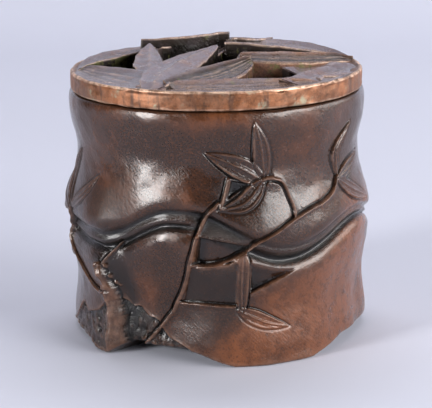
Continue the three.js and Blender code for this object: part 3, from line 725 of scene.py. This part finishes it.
# %% Lid ring
LID_RADIUS = 33.0
LID_BAND_WIDTH = 2.6
LEDGE_THICKNESS = 1.2
RING_SIDES = 480
DENT_SIZE = 6
collar_low, collar_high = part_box("lid_collar")
COLLAR_RADIUS = collar_high.x / MM
COLLAR_WIDTH = 1.8
COLLAR_FOOT = collar_low.z / MM
lid_angles = np.linspace(0, 2 * math.pi, RING_SIDES, endpoint=False)


def turned(name, profile, attributes, dent):
    """A closed profile of (radius, height) turned round the upright axis, slightly uneven."""
    rings = []
    for radius_here, height in profile:
        uneven = dent * slow_noise(lid_angles * LID_RADIUS, height * 1.5, DENT_SIZE)
        around = radius_here - np.abs(uneven)
        level = height + 0.5 * uneven
        rings.append(np.column_stack([around * np.cos(lid_angles), around * np.sin(lid_angles),
                                      np.broadcast_to(level, RING_SIDES)]))
    values = {key: np.repeat(column, RING_SIDES) for key, column in attributes.items()}
    faces = skin_faces(len(rings), RING_SIDES, True)
    return mesh_piece(name, np.concatenate(rings), faces, values)


def lid_ring():
    """The band: its outer top edge stands up as a thin, uneven lip, nicked by handling."""
    inner = LID_RADIUS - LID_BAND_WIDTH
    ledge = COLLAR_RADIUS - COLLAR_WIDTH
    bottom_edge = [(0.6, 0.0), (0.3, 0.08), (0.08, 0.3), (0.0, 0.6)]
    top_edge = [(0.0, -0.8), (0.04, -0.5), (0.16, -0.3), (0.4, -0.2), (0.7, -0.28), (1.0, -0.5), (1.6, -0.7)]
    profile = [(ledge, LID_UNDER), (LID_RADIUS - 1.5, LID_UNDER)]
    profile += [(LID_RADIUS - drop, LID_UNDER + rise) for drop, rise in bottom_edge]
    profile += [(LID_RADIUS, LID_UNDER + share * LID_BAND_HEIGHT) for share in (0.25, 0.4, 0.55, 0.7, 0.8)]
    profile += [(LID_RADIUS - drop, LID_TOP + rise) for drop, rise in top_edge]
    profile += [(inner + 0.3, LID_TOP - 0.75), (inner, LID_TOP - 0.95)]
    profile += [(inner, LID_UNDER + LEDGE_THICKNESS + 0.3), (inner - 0.4, LID_UNDER + LEDGE_THICKNESS)]
    profile += [(ledge + 0.3, LID_UNDER + LEDGE_THICKNESS), (ledge, LID_UNDER + LEDGE_THICKNESS - 0.3)]
    count = len(profile)
    spot = np.arange(count)
    outer = ((spot >= 2) & (spot < 14)).astype(float)  # from the bottom edge to the lip
    edge_values = np.full(count, 0.1)
    edge_values[2:5] = 0.55  # the bottom edge
    edge_values[12:16] = [0.9, 1.0, 0.9, 0.5]  # the lip
    # the faces that look in and down are painted dark: painted shade
    deep = ((spot >= count - 5) | (spot < 2)).astype(float)  # what faces in and down
    return turned("lid_ring", profile, {"edge": edge_values, "band": outer, "deep": deep}, dent=0.16)


ring = lid_ring()
print("ring faces:", len(ring.data.polygons))

# %% [markdown]
# ### Leaves of the lid
# A leaf is either dished, with its edges standing up like a gutter's, or ridged along a midrib.
# `dark` says how dark its top is painted, most in a dished middle, partly as patina and partly as
# painted shade. Its sides are painted dark below the rim as the shade between the leaves; `copper`
# says how far they are rubbed to warm metal instead, and `green` how much verdigris sits there,
# since these differ from leaf to leaf.

# %% Lid leaves
LEAF_STEPS = 48
LEAF_ACROSS = 25
OPENWORK_DEPTH = 3.3
CLIP_RADIUS = LID_RADIUS - 0.45
RIM_LEVEL = LID_TOP - 0.55
# between these radii a leaf comes down or up to the rim's level, which isn't so behind
RIM_BLEND = (28.6, 32.2)
EARLIER = (2.4, 1.8)  # how much further in both lie in front
SINK_STEP = 0.1  # leaves that cross don't lie level at the rim: four levels take turns
# height over the width of a leaf, from its right edge at -1 to its left edge at 1
DISHED = [(-1, -0.2), (-0.95, 0.0), (-0.86, -0.04), (-0.66, -0.5), (-0.3, -0.8), (0.2, -0.8), (0.6, -0.5),
          (0.84, -0.06), (0.95, 0.04), (1, -0.16)]
RIDGED = [(-1, -1.35), (-0.96, -1.15), (-0.6, -0.72), (-0.25, -0.3), (-0.08, -0.12), (0, 0.08), (0.07, -0.18),
          (0.3, -0.36), (0.65, -0.44), (0.88, -0.22), (0.96, -0.2), (1, -0.4)]
# base, tip, bow to the left, half width, height over the band at both ends, and looks
LID_LEAVES = [
    # along the band: left front, front, right front, right, back right, back left
    ((-13, -27), (-31.4, -0.5), -0.4, 8.6, (0, 0.15), dict(tilt=-0.3, lines=3, dark=0.5)),
    ((-16.8, -26.1), (24.1, -20.1), -2.2, 7.2, (-0.2, -0.2),
     dict(tilt=0.3, blunt=0.4, lines=4, dark=0.8, copper=1.0)),
    ((17.5, -22.4), (31.7, 2), -2.2, 5.8, (0, 0), dict(tilt=0.3, blunt=0.8, lines=2, dark=0.3)),
    ((18.8, -9.9), (33, -2), 3, 8.6, (-0.3, 0), dict(blunt=0.95, lines=1, dark=0.05)),
    ((3.6, 20.5), (31, 8.6), 5.6, 5.8, (2.5, 0.3), dict(tilt=-0.2, blunt=0.7, lines=2, dark=0.15)),
    ((-13.9, 24.1), (-32.3, -3), -2.4, 4.2, (1.1, 0.2), dict(tilt=0.2, lines=1, dark=0.2, green=1.0)),
    # across the front: the long pale leaf, the short one behind it, the one beside it, the right one
    ((-13.9, -27.1), (0.3, 9.9), 2.6, 4.7, (0.3, 3.0), dict(section=RIDGED, lines=0)),
    ((-14.5, -10.9), (-15.5, 15.2), 0.2, 3.6, (0, 2.8), dict(section=RIDGED, lines=0, dark=0.05)),
    ((-9.9, -24.1), (8.3, -1), -1.6, 4.6, (-0.2, 1.4),
     dict(tilt=0.9, lines=4, dark=1.3, green=0.5, copper=0.6)),
    ((5.9, 0.7), (31.7, 7.6), -1.2, 3.9, (1.8, 0.4),
     dict(tilt=0.7, blunt=0.4, lines=2, dark=1.0, green=0.55, copper=1.0)),
    # raised at the back
    ((1.7, 28.7), (-17.8, 19.5), -0.8, 4.2, (3.0, 2.3),
     dict(tilt=0.9, blunt=0.9, lines=1, dark=0.5, green=0.3)),
    ((3, 24.1), (13.9, 30), -0.2, 4.0, (2.7, 1.4), dict(tilt=-0.4, blunt=0.7, lines=1, dark=0.6)),
    ((-13.9, 17.8), (-10.9, 31), 0.8, 3.6, (1.6, 0.2), dict(lines=1, dark=0.6)),
    # low ones inside, which tie the others together
    ((6.9, 2), (12.9, 25.1), 1.2, 3.0, (0.4, 0.6), dict(lines=1, dark=0.8, green=0.5)),
    ((2, 24.1), (-4, 2), -1.6, 2.6, (0.6, -0.8), dict(lines=1, dark=0.8, green=0.5)),
]
# the upright side of a leaf, from its rim down: how far, how much rubbed, how dark (painted shade and patina)
LEAF_WALL = [(0.0, 0.6, 0.3), (0.04, 0.04, 0.95), (0.3, 0.0, 1.0), (0.7, 0.0, 1.0), (1.0, 0.0, 1.0)]


def lid_leaf(base, tip, bow, half, height, tilt=0.0, blunt=0.0, section=DISHED, lines=1, dark=0.0, green=0.1,
             copper=0.0, sink=0.0):
    """Rings of points along one thick leaf, with the attributes of each point."""
    base, tip = np.array(base, float), np.array(tip, float)
    way = (tip - base) / np.linalg.norm(tip - base)
    left = np.array([-way[1], way[0]])
    share = np.linspace(0, 1, LEAF_STEPS)
    centre = base + np.outer(share, tip - base) + np.outer(bow * np.sin(math.pi * share), left)
    outline = np.sin(math.pi * np.clip(0.06 + 0.93 * share, 0, 1) ** 0.8) ** 0.8  # widest before the middle
    reach = np.maximum(0.15, half * np.maximum(outline, blunt * (1 - share)))
    reach = reach + 0.09 * slow_noise(share * 40, base[0], 6) * (reach > 1)
    side = np.sin(np.linspace(-1, 1, LEAF_ACROSS) * math.pi / 2)
    spot = centre[:, None, :] + (reach[:, None] * side[None, :])[..., None] * left
    away = np.hypot(spot[..., 0], spot[..., 1])
    spot *= np.minimum(1, CLIP_RADIUS / np.maximum(away, 1e-6))[..., None]

    across = smooth_line(section, side)
    depth = np.clip(reach / 3.5, 0.2, 1.0)[:, None]
    top = LID_TOP + (height[0] + (height[1] - height[0]) * share)[:, None] + depth * across + tilt * side
    ridges = np.zeros_like(top)
    for line in range(lines):  # a fine rib, with a groove on its left
        at = -0.62 + 1.24 * (line + 0.5) / lines
        wander = (at + 0.05 * np.sin(4 * share + line))[:, None]
        ridges += bell((side - wander) / 0.07)
        top -= 0.12 * depth * bell((side - wander - 0.13) / 0.08)
    top += 0.16 * depth * ridges + 0.07 * slow_noise(spot[..., 0], spot[..., 1], 5.0)
    front = smoothstep(-spot[..., 1], 4, 16)
    to_rim = smoothstep(away, RIM_BLEND[0] - EARLIER[0] * front, RIM_BLEND[1] - EARLIER[1] * front)
    to_rim *= 1 - smoothstep(spot[..., 1], 2, 12)
    rim_level = RIM_LEVEL - sink + 0.04 * slow_noise(spot[..., 0], spot[..., 1], 2.5)
    top = top * (1 - to_rim) + rim_level * to_rim
    top = np.minimum(top, cover_high.z / MM - INSIDE_CAD)

    # upright sides, which draw in a little towards the bottom
    low = LID_TOP - OPENWORK_DEPTH
    walls, inner = [], np.array([*left, 0.0])
    for end, way_in in ((-1, -inner), (0, inner)):
        rim = np.column_stack([spot[:, end], top[:, end]])
        column = [rim + [0, 0, -0.12] - 0.03 * way_in]
        for part, _, _ in LEAF_WALL[1:]:
            point = rim + 0.1 * part * way_in
            point[:, 2] = (rim[:, 2] - 0.25) * (1 - part) + low * part
            column.append(point)
        walls.append(np.stack(column, axis=1))
    points = np.concatenate([np.dstack([spot, top]), walls[0], walls[1][:, ::-1]], axis=1)

    rows = np.ones((LEAF_STEPS, 1))
    # the sides and the dished middle of the top are painted dark, partly patina and partly painted shade
    rubbed, shaded = np.array([item[1] for item in LEAF_WALL]), np.array([item[2] for item in LEAF_WALL])
    rubbed = np.maximum(rubbed, 0.12 * copper)
    shaded = shaded * (1 - 0.75 * copper)
    rub = 0.08 + 0.7 * np.abs(side) ** 24 + 0.3 * (section is RIDGED) * bell(side / 0.1) + 0.45 * ridges
    dish_shade_and_patina = dark * (0.3 + 0.7 * np.clip(-across / 0.7, 0, 1)) * (1 - 0.6 * np.clip(ridges, 0, 1))
    values = {"edge": (rub, rubbed), "deep": (dish_shade_and_patina, shaded), "green": (0.15 * green, green * (shaded > 0.1)),
              "warm": (0.1 + 0.5 * copper, 0.1 + copper + 0 * shaded)}
    return points, {key: np.concatenate([on_top + 0 * top, wall * rows, wall[::-1] * rows], axis=1)
                    for key, (on_top, wall) in values.items()}


def capped(points):
    """Faces of one loft with both ends closed by a fan, and the points with the two middles."""
    rings, sides = points.shape[:2]
    faces = [list(face) for face in skin_faces(rings, sides, False)]
    flat = points.reshape(-1, 3)
    middles = np.array([points[0].mean(axis=0), points[-1].mean(axis=0)])
    start, end, last = len(flat), len(flat) + 1, (rings - 1) * sides
    faces += [[(side + 1) % sides, side, start] for side in range(sides)]
    faces += [[last + side, last + (side + 1) % sides, end] for side in range(sides)]
    return np.vstack([flat, middles]), faces


def build_lid_leaves():
    points, faces = [], []
    attributes = {"edge": [], "deep": [], "green": [], "warm": []}
    for number, (*form, looks) in enumerate(LID_LEAVES):
        shape, values = lid_leaf(*form, sink=SINK_STEP * (number % 4), **looks)
        more, more_faces = capped(shape)
        offset = sum(len(part) for part in points)
        points.append(more)
        faces += [[corner + offset for corner in face] for face in more_faces]
        for key, column in attributes.items():
            value = values[key]
            column.append(np.concatenate([value.ravel(), [value[0].mean(), value[-1].mean()]]))
    attributes = {key: np.concatenate(column) for key, column in attributes.items()}
    return mesh_piece("lid_leaves", np.vstack(points), faces, attributes)


lid_leaves = build_lid_leaves()
for piece in (ring, lid_leaves):
    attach(piece, "lid")
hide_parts("lid_cover")
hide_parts("lid_cover")
print("lid leaf faces:", len(lid_leaves.data.polygons))

# %% [markdown]
# ## Collar and base plate
# Two plain turned pieces are left dull from the mould: the collar that drops into the mouth and
# keeps the lid in place, and the disc that closes the foot.

# %% Collar and plate
def lid_collar():
    inner = COLLAR_RADIUS - COLLAR_WIDTH
    profile = [(inner, COLLAR_FOOT + 0.3), (inner + 0.3, COLLAR_FOOT), (COLLAR_RADIUS - 0.5, COLLAR_FOOT),
               (COLLAR_RADIUS - 0.15, COLLAR_FOOT + 0.15), (COLLAR_RADIUS, COLLAR_FOOT + 0.5)]
    profile += [(COLLAR_RADIUS, COLLAR_FOOT + rise) for rise in (1.5, 2.5, 3.5)]
    profile += [(COLLAR_RADIUS, LID_UNDER), (inner, LID_UNDER), (inner, COLLAR_FOOT + 2.5)]
    worn = np.array([0.5, 0.8, 0.8, 0.8, 0.5, 0.2, 0.2, 0.2, 0, 0, 0])
    return turned("collar", profile, {"edge": worn, "deep": 0.3 + 0 * worn}, dent=0.04)


def base_disc():
    under = plate_low.z / MM
    profile = [(0.01, under + 0.3), (PLATE_RADIUS - 4, under + 0.3), (PLATE_RADIUS - 2.5, under + 0.05),
               (PLATE_RADIUS - 0.3, under + 0.05), (PLATE_RADIUS - 0.05, under + 0.3),
               (PLATE_RADIUS - 0.05, PLATE_TOP - 0.02), (0.01, PLATE_TOP - 0.02)]
    worn = np.array([0.1, 0.1, 0.4, 0.6, 0.4, 0, 0])
    return turned("foot_disc", profile, {"edge": worn, "deep": 0.3 + 0 * worn}, dent=0.03)


collar = lid_collar()
disc = base_disc()
for piece, node, body in ((collar, "lid_collar", "lid"), (disc, "base_plate", "vessel")):
    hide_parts(node)
    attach(piece, body)
print("turned pieces:", collar.name, disc.name)

# %% [markdown]
# ## Finishes
# Waxed patina is a thin dark skin over metal, so its colour changes with every hollow and edge,
# while its gloss comes from the wax. Two node groups do what all the bronzes share: one mixes
# the tones, one gives the grain of the casting.

# %% Node helpers
def add_node(tree, kind, **settings):
    node = tree.nodes.new(kind)
    for key, value in settings.items():
        setattr(node, key, value)
    return node


def fill(node, **values):
    for key, value in values.items():
        node.inputs[key.replace("_", " ")].default_value = value
    return node


def plug(tree, socket, value):
    """Links a socket to another one, or gives it a plain value."""
    if isinstance(value, bpy.types.NodeSocket):
        tree.links.new(value, socket)
    else:
        socket.default_value = value


def mixed(tree, factor, first, second):
    """A colour mix; each of the three is a socket or a plain value."""
    node = add_node(tree, "ShaderNodeMix", data_type="RGBA")
    for slot, value in zip((0, 6, 7), (factor, first, second)):
        plug(tree, node.inputs[slot], value)
    return node.outputs[2]


def maths(tree, operation, first, second, clamp=False):
    node = add_node(tree, "ShaderNodeMath", operation=operation, use_clamp=clamp)
    for socket, value in zip(node.inputs, (first, second)):
        plug(tree, socket, value)
    return node.outputs[0]


def plus(tree, first, second, clamp=False):
    return maths(tree, "ADD", first, second, clamp)


def times(tree, first, second, clamp=False):
    return maths(tree, "MULTIPLY", first, second, clamp)


def remapped(tree, value, low, high, to_low=0.0, to_high=1.0):
    node = add_node(tree, "ShaderNodeMapRange", interpolation_type="SMOOTHSTEP")
    tree.links.new(value, node.inputs[0])
    for slot, number in zip((1, 2, 3, 4), (low, high, to_low, to_high)):
        node.inputs[slot].default_value = number
    return node.outputs[0]


def noise(tree, place, scale, detail, roughness, stretch=None, turn=(0, 0, 0)):
    """Noise with so many spots to the metre, which may be stretched along the axes of a turned frame."""
    if stretch is not None:
        mapping = add_node(tree, "ShaderNodeMapping", vector_type="TEXTURE")
        fill(mapping, Scale=stretch, Rotation=turn)
        tree.links.new(place, mapping.inputs["Vector"])
        place = mapping.outputs["Vector"]
    node = fill(add_node(tree, "ShaderNodeTexNoise"), Scale=scale, Detail=detail, Roughness=roughness)
    tree.links.new(place, node.inputs["Vector"])
    return node.outputs["Fac"]


def new_group(name, inputs, outputs):
    tree = bpy.data.node_groups.new(name, "ShaderNodeTree")
    for socket_name, kind, default in inputs:
        socket = tree.interface.new_socket(socket_name, in_out="INPUT", socket_type=kind)
        if default is not None:
            socket.default_value = default
    for socket_name, kind in outputs:
        tree.interface.new_socket(socket_name, in_out="OUTPUT", socket_type=kind)
    return tree, tree.nodes.new("NodeGroupInput").outputs, tree.nodes.new("NodeGroupOutput").inputs


print("node helpers ready")

# %% [markdown]
# ### Tones of the patina
# Clouds decide where the brown turns warm, and smoke, pits and specks break it up. Hollows then
# go dark, as patina and as painted shade, and edges are rubbed bright, both only in part, as a
# mottle lets them.

# %% Patina tones group
COLOUR, FLOAT, VECTOR = "NodeSocketColor", "NodeSocketFloat", "NodeSocketVector"


def patina_group():
    """Tones by hollows, edges and clouds, hollows dark as patina and painted shade, and glossier there."""
    tree, given, result = new_group(
        "patina_tones",
        [("Position", VECTOR, None), ("Deep", COLOUR, (0.01, 0.008, 0.007, 1)),
         ("Brown", COLOUR, (0.06, 0.03, 0.02, 1)), ("Warm", COLOUR, (0.17, 0.07, 0.03, 1)),
         ("Rubbed", COLOUR, (0.45, 0.27, 0.17, 1)), ("Hollow", FLOAT, 0.0), ("Edge", FLOAT, 0.0),
         ("Cloud size", FLOAT, 60.0), ("Warmth", FLOAT, 0.0), ("Smoke", FLOAT, 0.0)],
        [("Color", COLOUR), ("Roughness", FLOAT)])
    place = given["Position"]
    clouds = noise(tree, place, 55, detail=5, roughness=0.6)
    tree.links.new(given["Cloud size"], clouds.node.inputs["Scale"])
    mottle = noise(tree, place, 420, detail=5, roughness=0.7)
    specks = noise(tree, place, 2400, detail=3, roughness=0.6)
    warm = remapped(tree, plus(tree, clouds, given["Warmth"]), 0.5, 0.85)
    warm = times(tree, warm, remapped(tree, mottle, 0.3, 0.62, 0.45, 1.0))
    tone = mixed(tree, warm, given["Brown"], given["Warm"])
    tone = mixed(tree, remapped(tree, specks, 0.46, 0.72, 0.0, 0.4), tone, given["Warm"])
    smoke = noise(tree, place, 46, detail=4, roughness=0.55, stretch=(1.0, 1.0, 1.4))
    smoke = times(tree, remapped(tree, smoke, 0.4, 0.6, 0.1), given["Smoke"])
    tone = mixed(tree, smoke, tone, given["Deep"])
    pits = noise(tree, place, 2300, detail=2, roughness=0.5)
    tone = mixed(tree, remapped(tree, pits, 0.55, 0.68, 0.0, 0.45), tone, given["Deep"])
    dark = times(tree, given["Hollow"], remapped(tree, mottle, 0.2, 0.6, 0.75, 1.0), clamp=True)
    tone = mixed(tree, dark, tone, given["Deep"])
    rub = times(tree, given["Edge"], remapped(tree, mottle, 0.34, 0.62, 0.15, 1.0), clamp=True)
    tone = mixed(tree, rub, tone, given["Rubbed"])
    tree.links.new(tone, result["Color"])
    dull = remapped(tree, mottle, 0.3, 0.7, 0.16, 0.26)
    for amount, change in ((dark, -0.08), (warm, 0.14)):
        dull = plus(tree, dull, times(tree, amount, change))
    tree.links.new(dull, result["Roughness"])
    return tree


PATINA = patina_group()
print("patina sockets:", [socket.name for socket in PATINA.interface.items_tree][:9])

# %% [markdown]
# ### Grain of the casting
# Up close the skin is never smooth: sand leaves grain, the wax leaves ripples and brushing leaves
# short hatches that lean over. They are only bumps, far too small to model.

# %% Casting grain group
def grain_group():
    """Height of the casting's skin: fine sand grain, soft ripples, and fine brushed hatching."""
    tree, given, result = new_group(
        "casting_grain",
        [("Position", VECTOR, None), ("Sand", FLOAT, 0.5), ("Ripple", FLOAT, 0.5), ("Hatching", FLOAT, 0.3),
         ("Rough ground", FLOAT, 0.0)],
        [("Height", FLOAT)])
    place = given["Position"]
    sand = noise(tree, place, 2600, detail=4, roughness=0.65)
    ripple = noise(tree, place, 420, detail=3, roughness=0.5)
    hatch = noise(tree, place, 900, detail=3, roughness=0.5, stretch=(0.4, 0.8, 1.5), turn=(0, -0.75, 0))
    lumps = noise(tree, place, 1100, detail=5, roughness=0.7)
    total = times(tree, sand, given["Sand"])
    for part, amount in ((ripple, "Ripple"), (hatch, "Hatching"), (lumps, "Rough ground")):
        total = plus(tree, total, times(tree, part, given[amount]))
    tree.links.new(total, result["Height"])
    return tree


GRAIN = grain_group()
print("grain group ready")

# %% [markdown]
# ## The four bronzes
# The vessel is dark and waxed, warm brown where it is handled, greenish black in the grooves.
# The lid's leaves are the same but greyer: their brown is a pale lavender grey, a painted reflection
# of the pale backdrop. The band is rubbed almost to bare copper with dark streaks and pale green
# spots. The pieces that are out of sight are dull from the mould.

# %% Bronze materials
WAX_COAT = 0.28
WAX_ROUGHNESS = 0.15
WAXED_IOR = 1.46
OLIVE = (0.15, 0.145, 0.06, 1)
VERDIGRIS = (0.3, 0.3, 0.21, 1)
CANE_BROWN = (0.13, 0.05, 0.024, 1)
STREAK_BROWN = (0.09, 0.05, 0.035, 1)
# the deep, brown, warm and rubbed tone of each bronze
VESSEL_TONES = [(0.0055, 0.005, 0.0046), (0.036, 0.0155, 0.0085), (0.17, 0.052, 0.015), (0.26, 0.135, 0.085)]
# the leaves' brown is a pale lavender grey, a painted reflection of the pale backdrop
LEAF_TONES = [(0.012, 0.010, 0.008), (0.2, 0.165, 0.19), (0.3, 0.125, 0.06), (0.6, 0.42, 0.31)]
BAND_TONES = [(0.02, 0.013, 0.008), (0.115, 0.046, 0.021), (0.33, 0.112, 0.038), (0.85, 0.58, 0.42)]
DULL_TONES = [(0.012, 0.011, 0.009), (0.045, 0.033, 0.024), (0.11, 0.062, 0.035), (0.34, 0.21, 0.13)]


def attribute(tree, name):
    return add_node(tree, "ShaderNodeAttribute", attribute_name=name).outputs["Fac"]


def start_bronze(name, metallic, coat, ior):
    material = bpy.data.materials.new(name)
    material.use_nodes = True
    tree = material.node_tree
    shader = tree.nodes["Principled BSDF"]
    fill(shader, Metallic=metallic, IOR=ior, Coat_Weight=coat, Coat_Roughness=WAX_ROUGHNESS)
    place = add_node(tree, "ShaderNodeTexCoord").outputs["Object"]
    return material, tree, shader, place


def use_group(tree, group, place, **values):
    node = add_node(tree, "ShaderNodeGroup", node_tree=group)
    for key, value in {"Position": place, **values}.items():
        plug(tree, node.inputs[key.replace("_", " ")], value)
    return node


def add_tones(tree, place, tones, cloud_size, patina_and_shade_here, edge_here, **more):
    """Colour and roughness of the patina, from four tones and what it needs to know of the shape."""
    colours = {key: (*tone, 1) for key, tone in zip(("Deep", "Brown", "Warm", "Rubbed"), tones)}
    node = use_group(tree, PATINA, place, Cloud_size=cloud_size, Hollow=patina_and_shade_here, Edge=edge_here,
                     **colours, **more)
    return node.outputs["Color"], node.outputs["Roughness"]


def finish_bronze(tree, shader, place, colour, roughness, grain_depth, **grain):
    """Joins the colour, the roughness and the bumps of the grain to the shader."""
    tree.links.new(colour, shader.inputs["Base Color"])
    tree.links.new(roughness, shader.inputs["Roughness"])
    bump = fill(add_node(tree, "ShaderNodeBump"), Strength=1.0, Distance=grain_depth)
    tree.links.new(use_group(tree, GRAIN, place, **grain).outputs["Height"], bump.inputs["Height"])
    tree.links.new(bump.outputs["Normal"], shader.inputs["Normal"])


def with_bloom(tree, place, colour, bloom, amount, size):
    """Green bloom in blotches over a colour, where amount says how much of it there is."""
    blotches = noise(tree, place, size, detail=5, roughness=0.65)
    cover = remapped(tree, plus(tree, blotches, times(tree, amount, 0.16)), 0.62, 0.72, 0.0, 0.75)
    return mixed(tree, cover, colour, bloom)


def vessel_bronze():
    material, tree, shader, place = start_bronze("waxed_brown_bronze", 0.12, WAX_COAT, WAXED_IOR)
    patina_and_shade_here, edge_here, rough_here, cane_here, warm_here, gloss_here = [
        attribute(tree, name) for name in ("hollow_patina_and_shade", "edge", "rough", "cane", "warm", "gloss")]
    # Smoke grows where warm is under zero, which darkens the wall partly as smoky patina, partly as painted
    # shade
    colour, roughness = add_tones(
        tree, place, VESSEL_TONES, 60.0, plus(tree, patina_and_shade_here, times(tree, rough_here, 0.45), clamp=True),
        times(tree, edge_here, 0.45), Smoke=maths(tree, "SUBTRACT", 0.32, warm_here, clamp=True),
        Warmth=times(tree, plus(tree, times(tree, cane_here, 0.3), warm_here), 0.3))
    colour = mixed(tree, times(tree, cane_here, 0.15), colour, CANE_BROWN)
    waxed = times(tree, maths(tree, "MAXIMUM", gloss_here, 0.0), 0.07)
    worn = times(tree, maths(tree, "MINIMUM", gloss_here, 0.0), 0.3)
    roughness = maths(tree, "SUBTRACT", roughness, plus(tree, waxed, worn))
    finish_bronze(tree, shader, place, colour, roughness, 0.00012, Sand=0.45, Ripple=0.35, Hatching=0.75,
                  Rough_ground=times(tree, rough_here, 3.0))
    return material


def leaf_bronze():
    material, tree, shader, place = start_bronze("lid_leaf_bronze", 0.25, 0.05, 1.42)
    colour, roughness = add_tones(
        tree, place, LEAF_TONES, 130.0, attribute(tree, "deep"), attribute(tree, "edge"),
        Warmth=times(tree, attribute(tree, "warm"), 0.4))
    colour = with_bloom(tree, place, colour, OLIVE, attribute(tree, "green"), 300)
    finish_bronze(tree, shader, place, colour, roughness, 0.00016, Sand=0.4, Ripple=0.8, Hatching=0.7)
    return material


def band_bronze():
    material, tree, shader, place = start_bronze("lid_band_bronze", 0.55, 0.0, 1.4)
    band = attribute(tree, "band")
    colour, roughness = add_tones(
        tree, place, BAND_TONES, 120.0, attribute(tree, "deep"), attribute(tree, "edge"),
        Warmth=times(tree, band, 0.16))
    streaks = noise(tree, place, 520, detail=3, roughness=0.6, stretch=(1.0, 1.0, 6.0))
    colour = mixed(tree, remapped(tree, streaks, 0.53, 0.68, 0.0, 0.85), colour, STREAK_BROWN)
    colour = with_bloom(tree, place, colour, VERDIGRIS, times(tree, band, 0.3), 210)
    roughness = plus(tree, roughness, 0.18)
    finish_bronze(tree, shader, place, colour, roughness, 0.00011, Sand=0.5, Ripple=0.9, Hatching=0.3)
    return material


def unpolished_bronze():
    material, tree, shader, place = start_bronze("unpolished_bronze", 0.5, 0.0, 1.6)
    colour, roughness = add_tones(
        tree, place, DULL_TONES, 140.0, attribute(tree, "deep"), attribute(tree, "edge"))
    roughness = plus(tree, roughness, 0.15)
    finish_bronze(tree, shader, place, colour, roughness, 0.00018, Sand=0.9, Ripple=0.6, Hatching=0.0)
    return material


vessel.data.materials.append(vessel_bronze())
lid_leaves.data.materials.append(leaf_bronze())
ring.data.materials.append(band_bronze())
dull_material = unpolished_bronze()
for piece in (collar, disc):
    piece.data.materials.append(dull_material)
print("materials:", [material.name for material in bpy.data.materials if "bronze" in material.name])

# %% [markdown]
# ## Studio
# A pale sweep of paper stands behind, and its own colour makes the background, so the lamps can
# stay plain. Two soft boxes in front put the soft white patches on the wall, a weaker one at the
# right draws its edge, and a large one above and behind lights the lid.

# %% Floor, backdrop and lamps
PAPER = (0.67, 0.68, 0.78, 1)
SWEEP_SIZE = 1.6
SWEEP_FRONT = -1.2
SWEEP_DEPTH = 0.75
SWEEP_CURVE = 0.35
LAMP_AIM = Vector((0, 0, 0.03))
# name, place and size in metres, watts and colour
LAMPS = [
    ("left box", (-0.74, -0.53, 0.22), (0.2, 0.38), 8.2, (1, 1, 1)),
    ("right box", (0.76, -0.47, 0.28), (0.75, 0.34), 10.0, (1, 1, 1)),
    ("side box", (0.9, 0.15, 0.3), (0.5, 0.4), 3.0, (1, 1, 1)),
    ("top box", (0.0, 0.68, 1.3), (1.1, 0.7), 11.5, (0.96, 0.97, 1.0)),
]


def paper_sweep():
    line = [(SWEEP_FRONT, 0.0), (SWEEP_DEPTH - SWEEP_CURVE, 0.0)]
    line += [(SWEEP_DEPTH - SWEEP_CURVE + SWEEP_CURVE * math.sin(a), SWEEP_CURVE * (1 - math.cos(a)))
             for a in np.linspace(0.1, math.pi / 2, 14)]
    line += [(SWEEP_DEPTH, SWEEP_SIZE)]
    points = [(x, y, z) for y, z in line for x in (-SWEEP_SIZE, SWEEP_SIZE)]
    faces = [(2 * i, 2 * i + 1, 2 * i + 3, 2 * i + 2) for i in range(len(line) - 1)]
    sweep = mesh_piece("paper_sweep", np.array(points) / MM, faces, {})
    material = bpy.data.materials.new("paper")
    material.use_nodes = True
    fill(material.node_tree.nodes["Principled BSDF"], Base_Color=PAPER, Roughness=0.9)
    sweep.data.materials.append(material)


def soft_box(name, place, size, watts, colour):
    lamp = bpy.data.lights.new(name, "AREA")
    lamp.shape = "RECTANGLE"
    lamp.size, lamp.size_y = size
    lamp.energy = watts
    lamp.color = colour
    holder = bpy.data.objects.new(name, lamp)
    bpy.context.scene.collection.objects.link(holder)
    turn = (LAMP_AIM - Vector(place)).to_track_quat("-Z", "Y").to_matrix().to_4x4()
    holder.matrix_world = Matrix.Translation(Vector(place)) @ turn


paper_sweep()
for lamp in LAMPS:
    soft_box(*lamp)
world = bpy.data.worlds.new("studio")
world.use_nodes = True
fill(world.node_tree.nodes["Background"], Color=(0.82, 0.84, 1.0, 1), Strength=0.06)
bpy.context.scene.world = world
bpy.context.scene.view_settings.view_transform = "Standard"
print("lamps:", [lamp.name for lamp in bpy.data.lights])
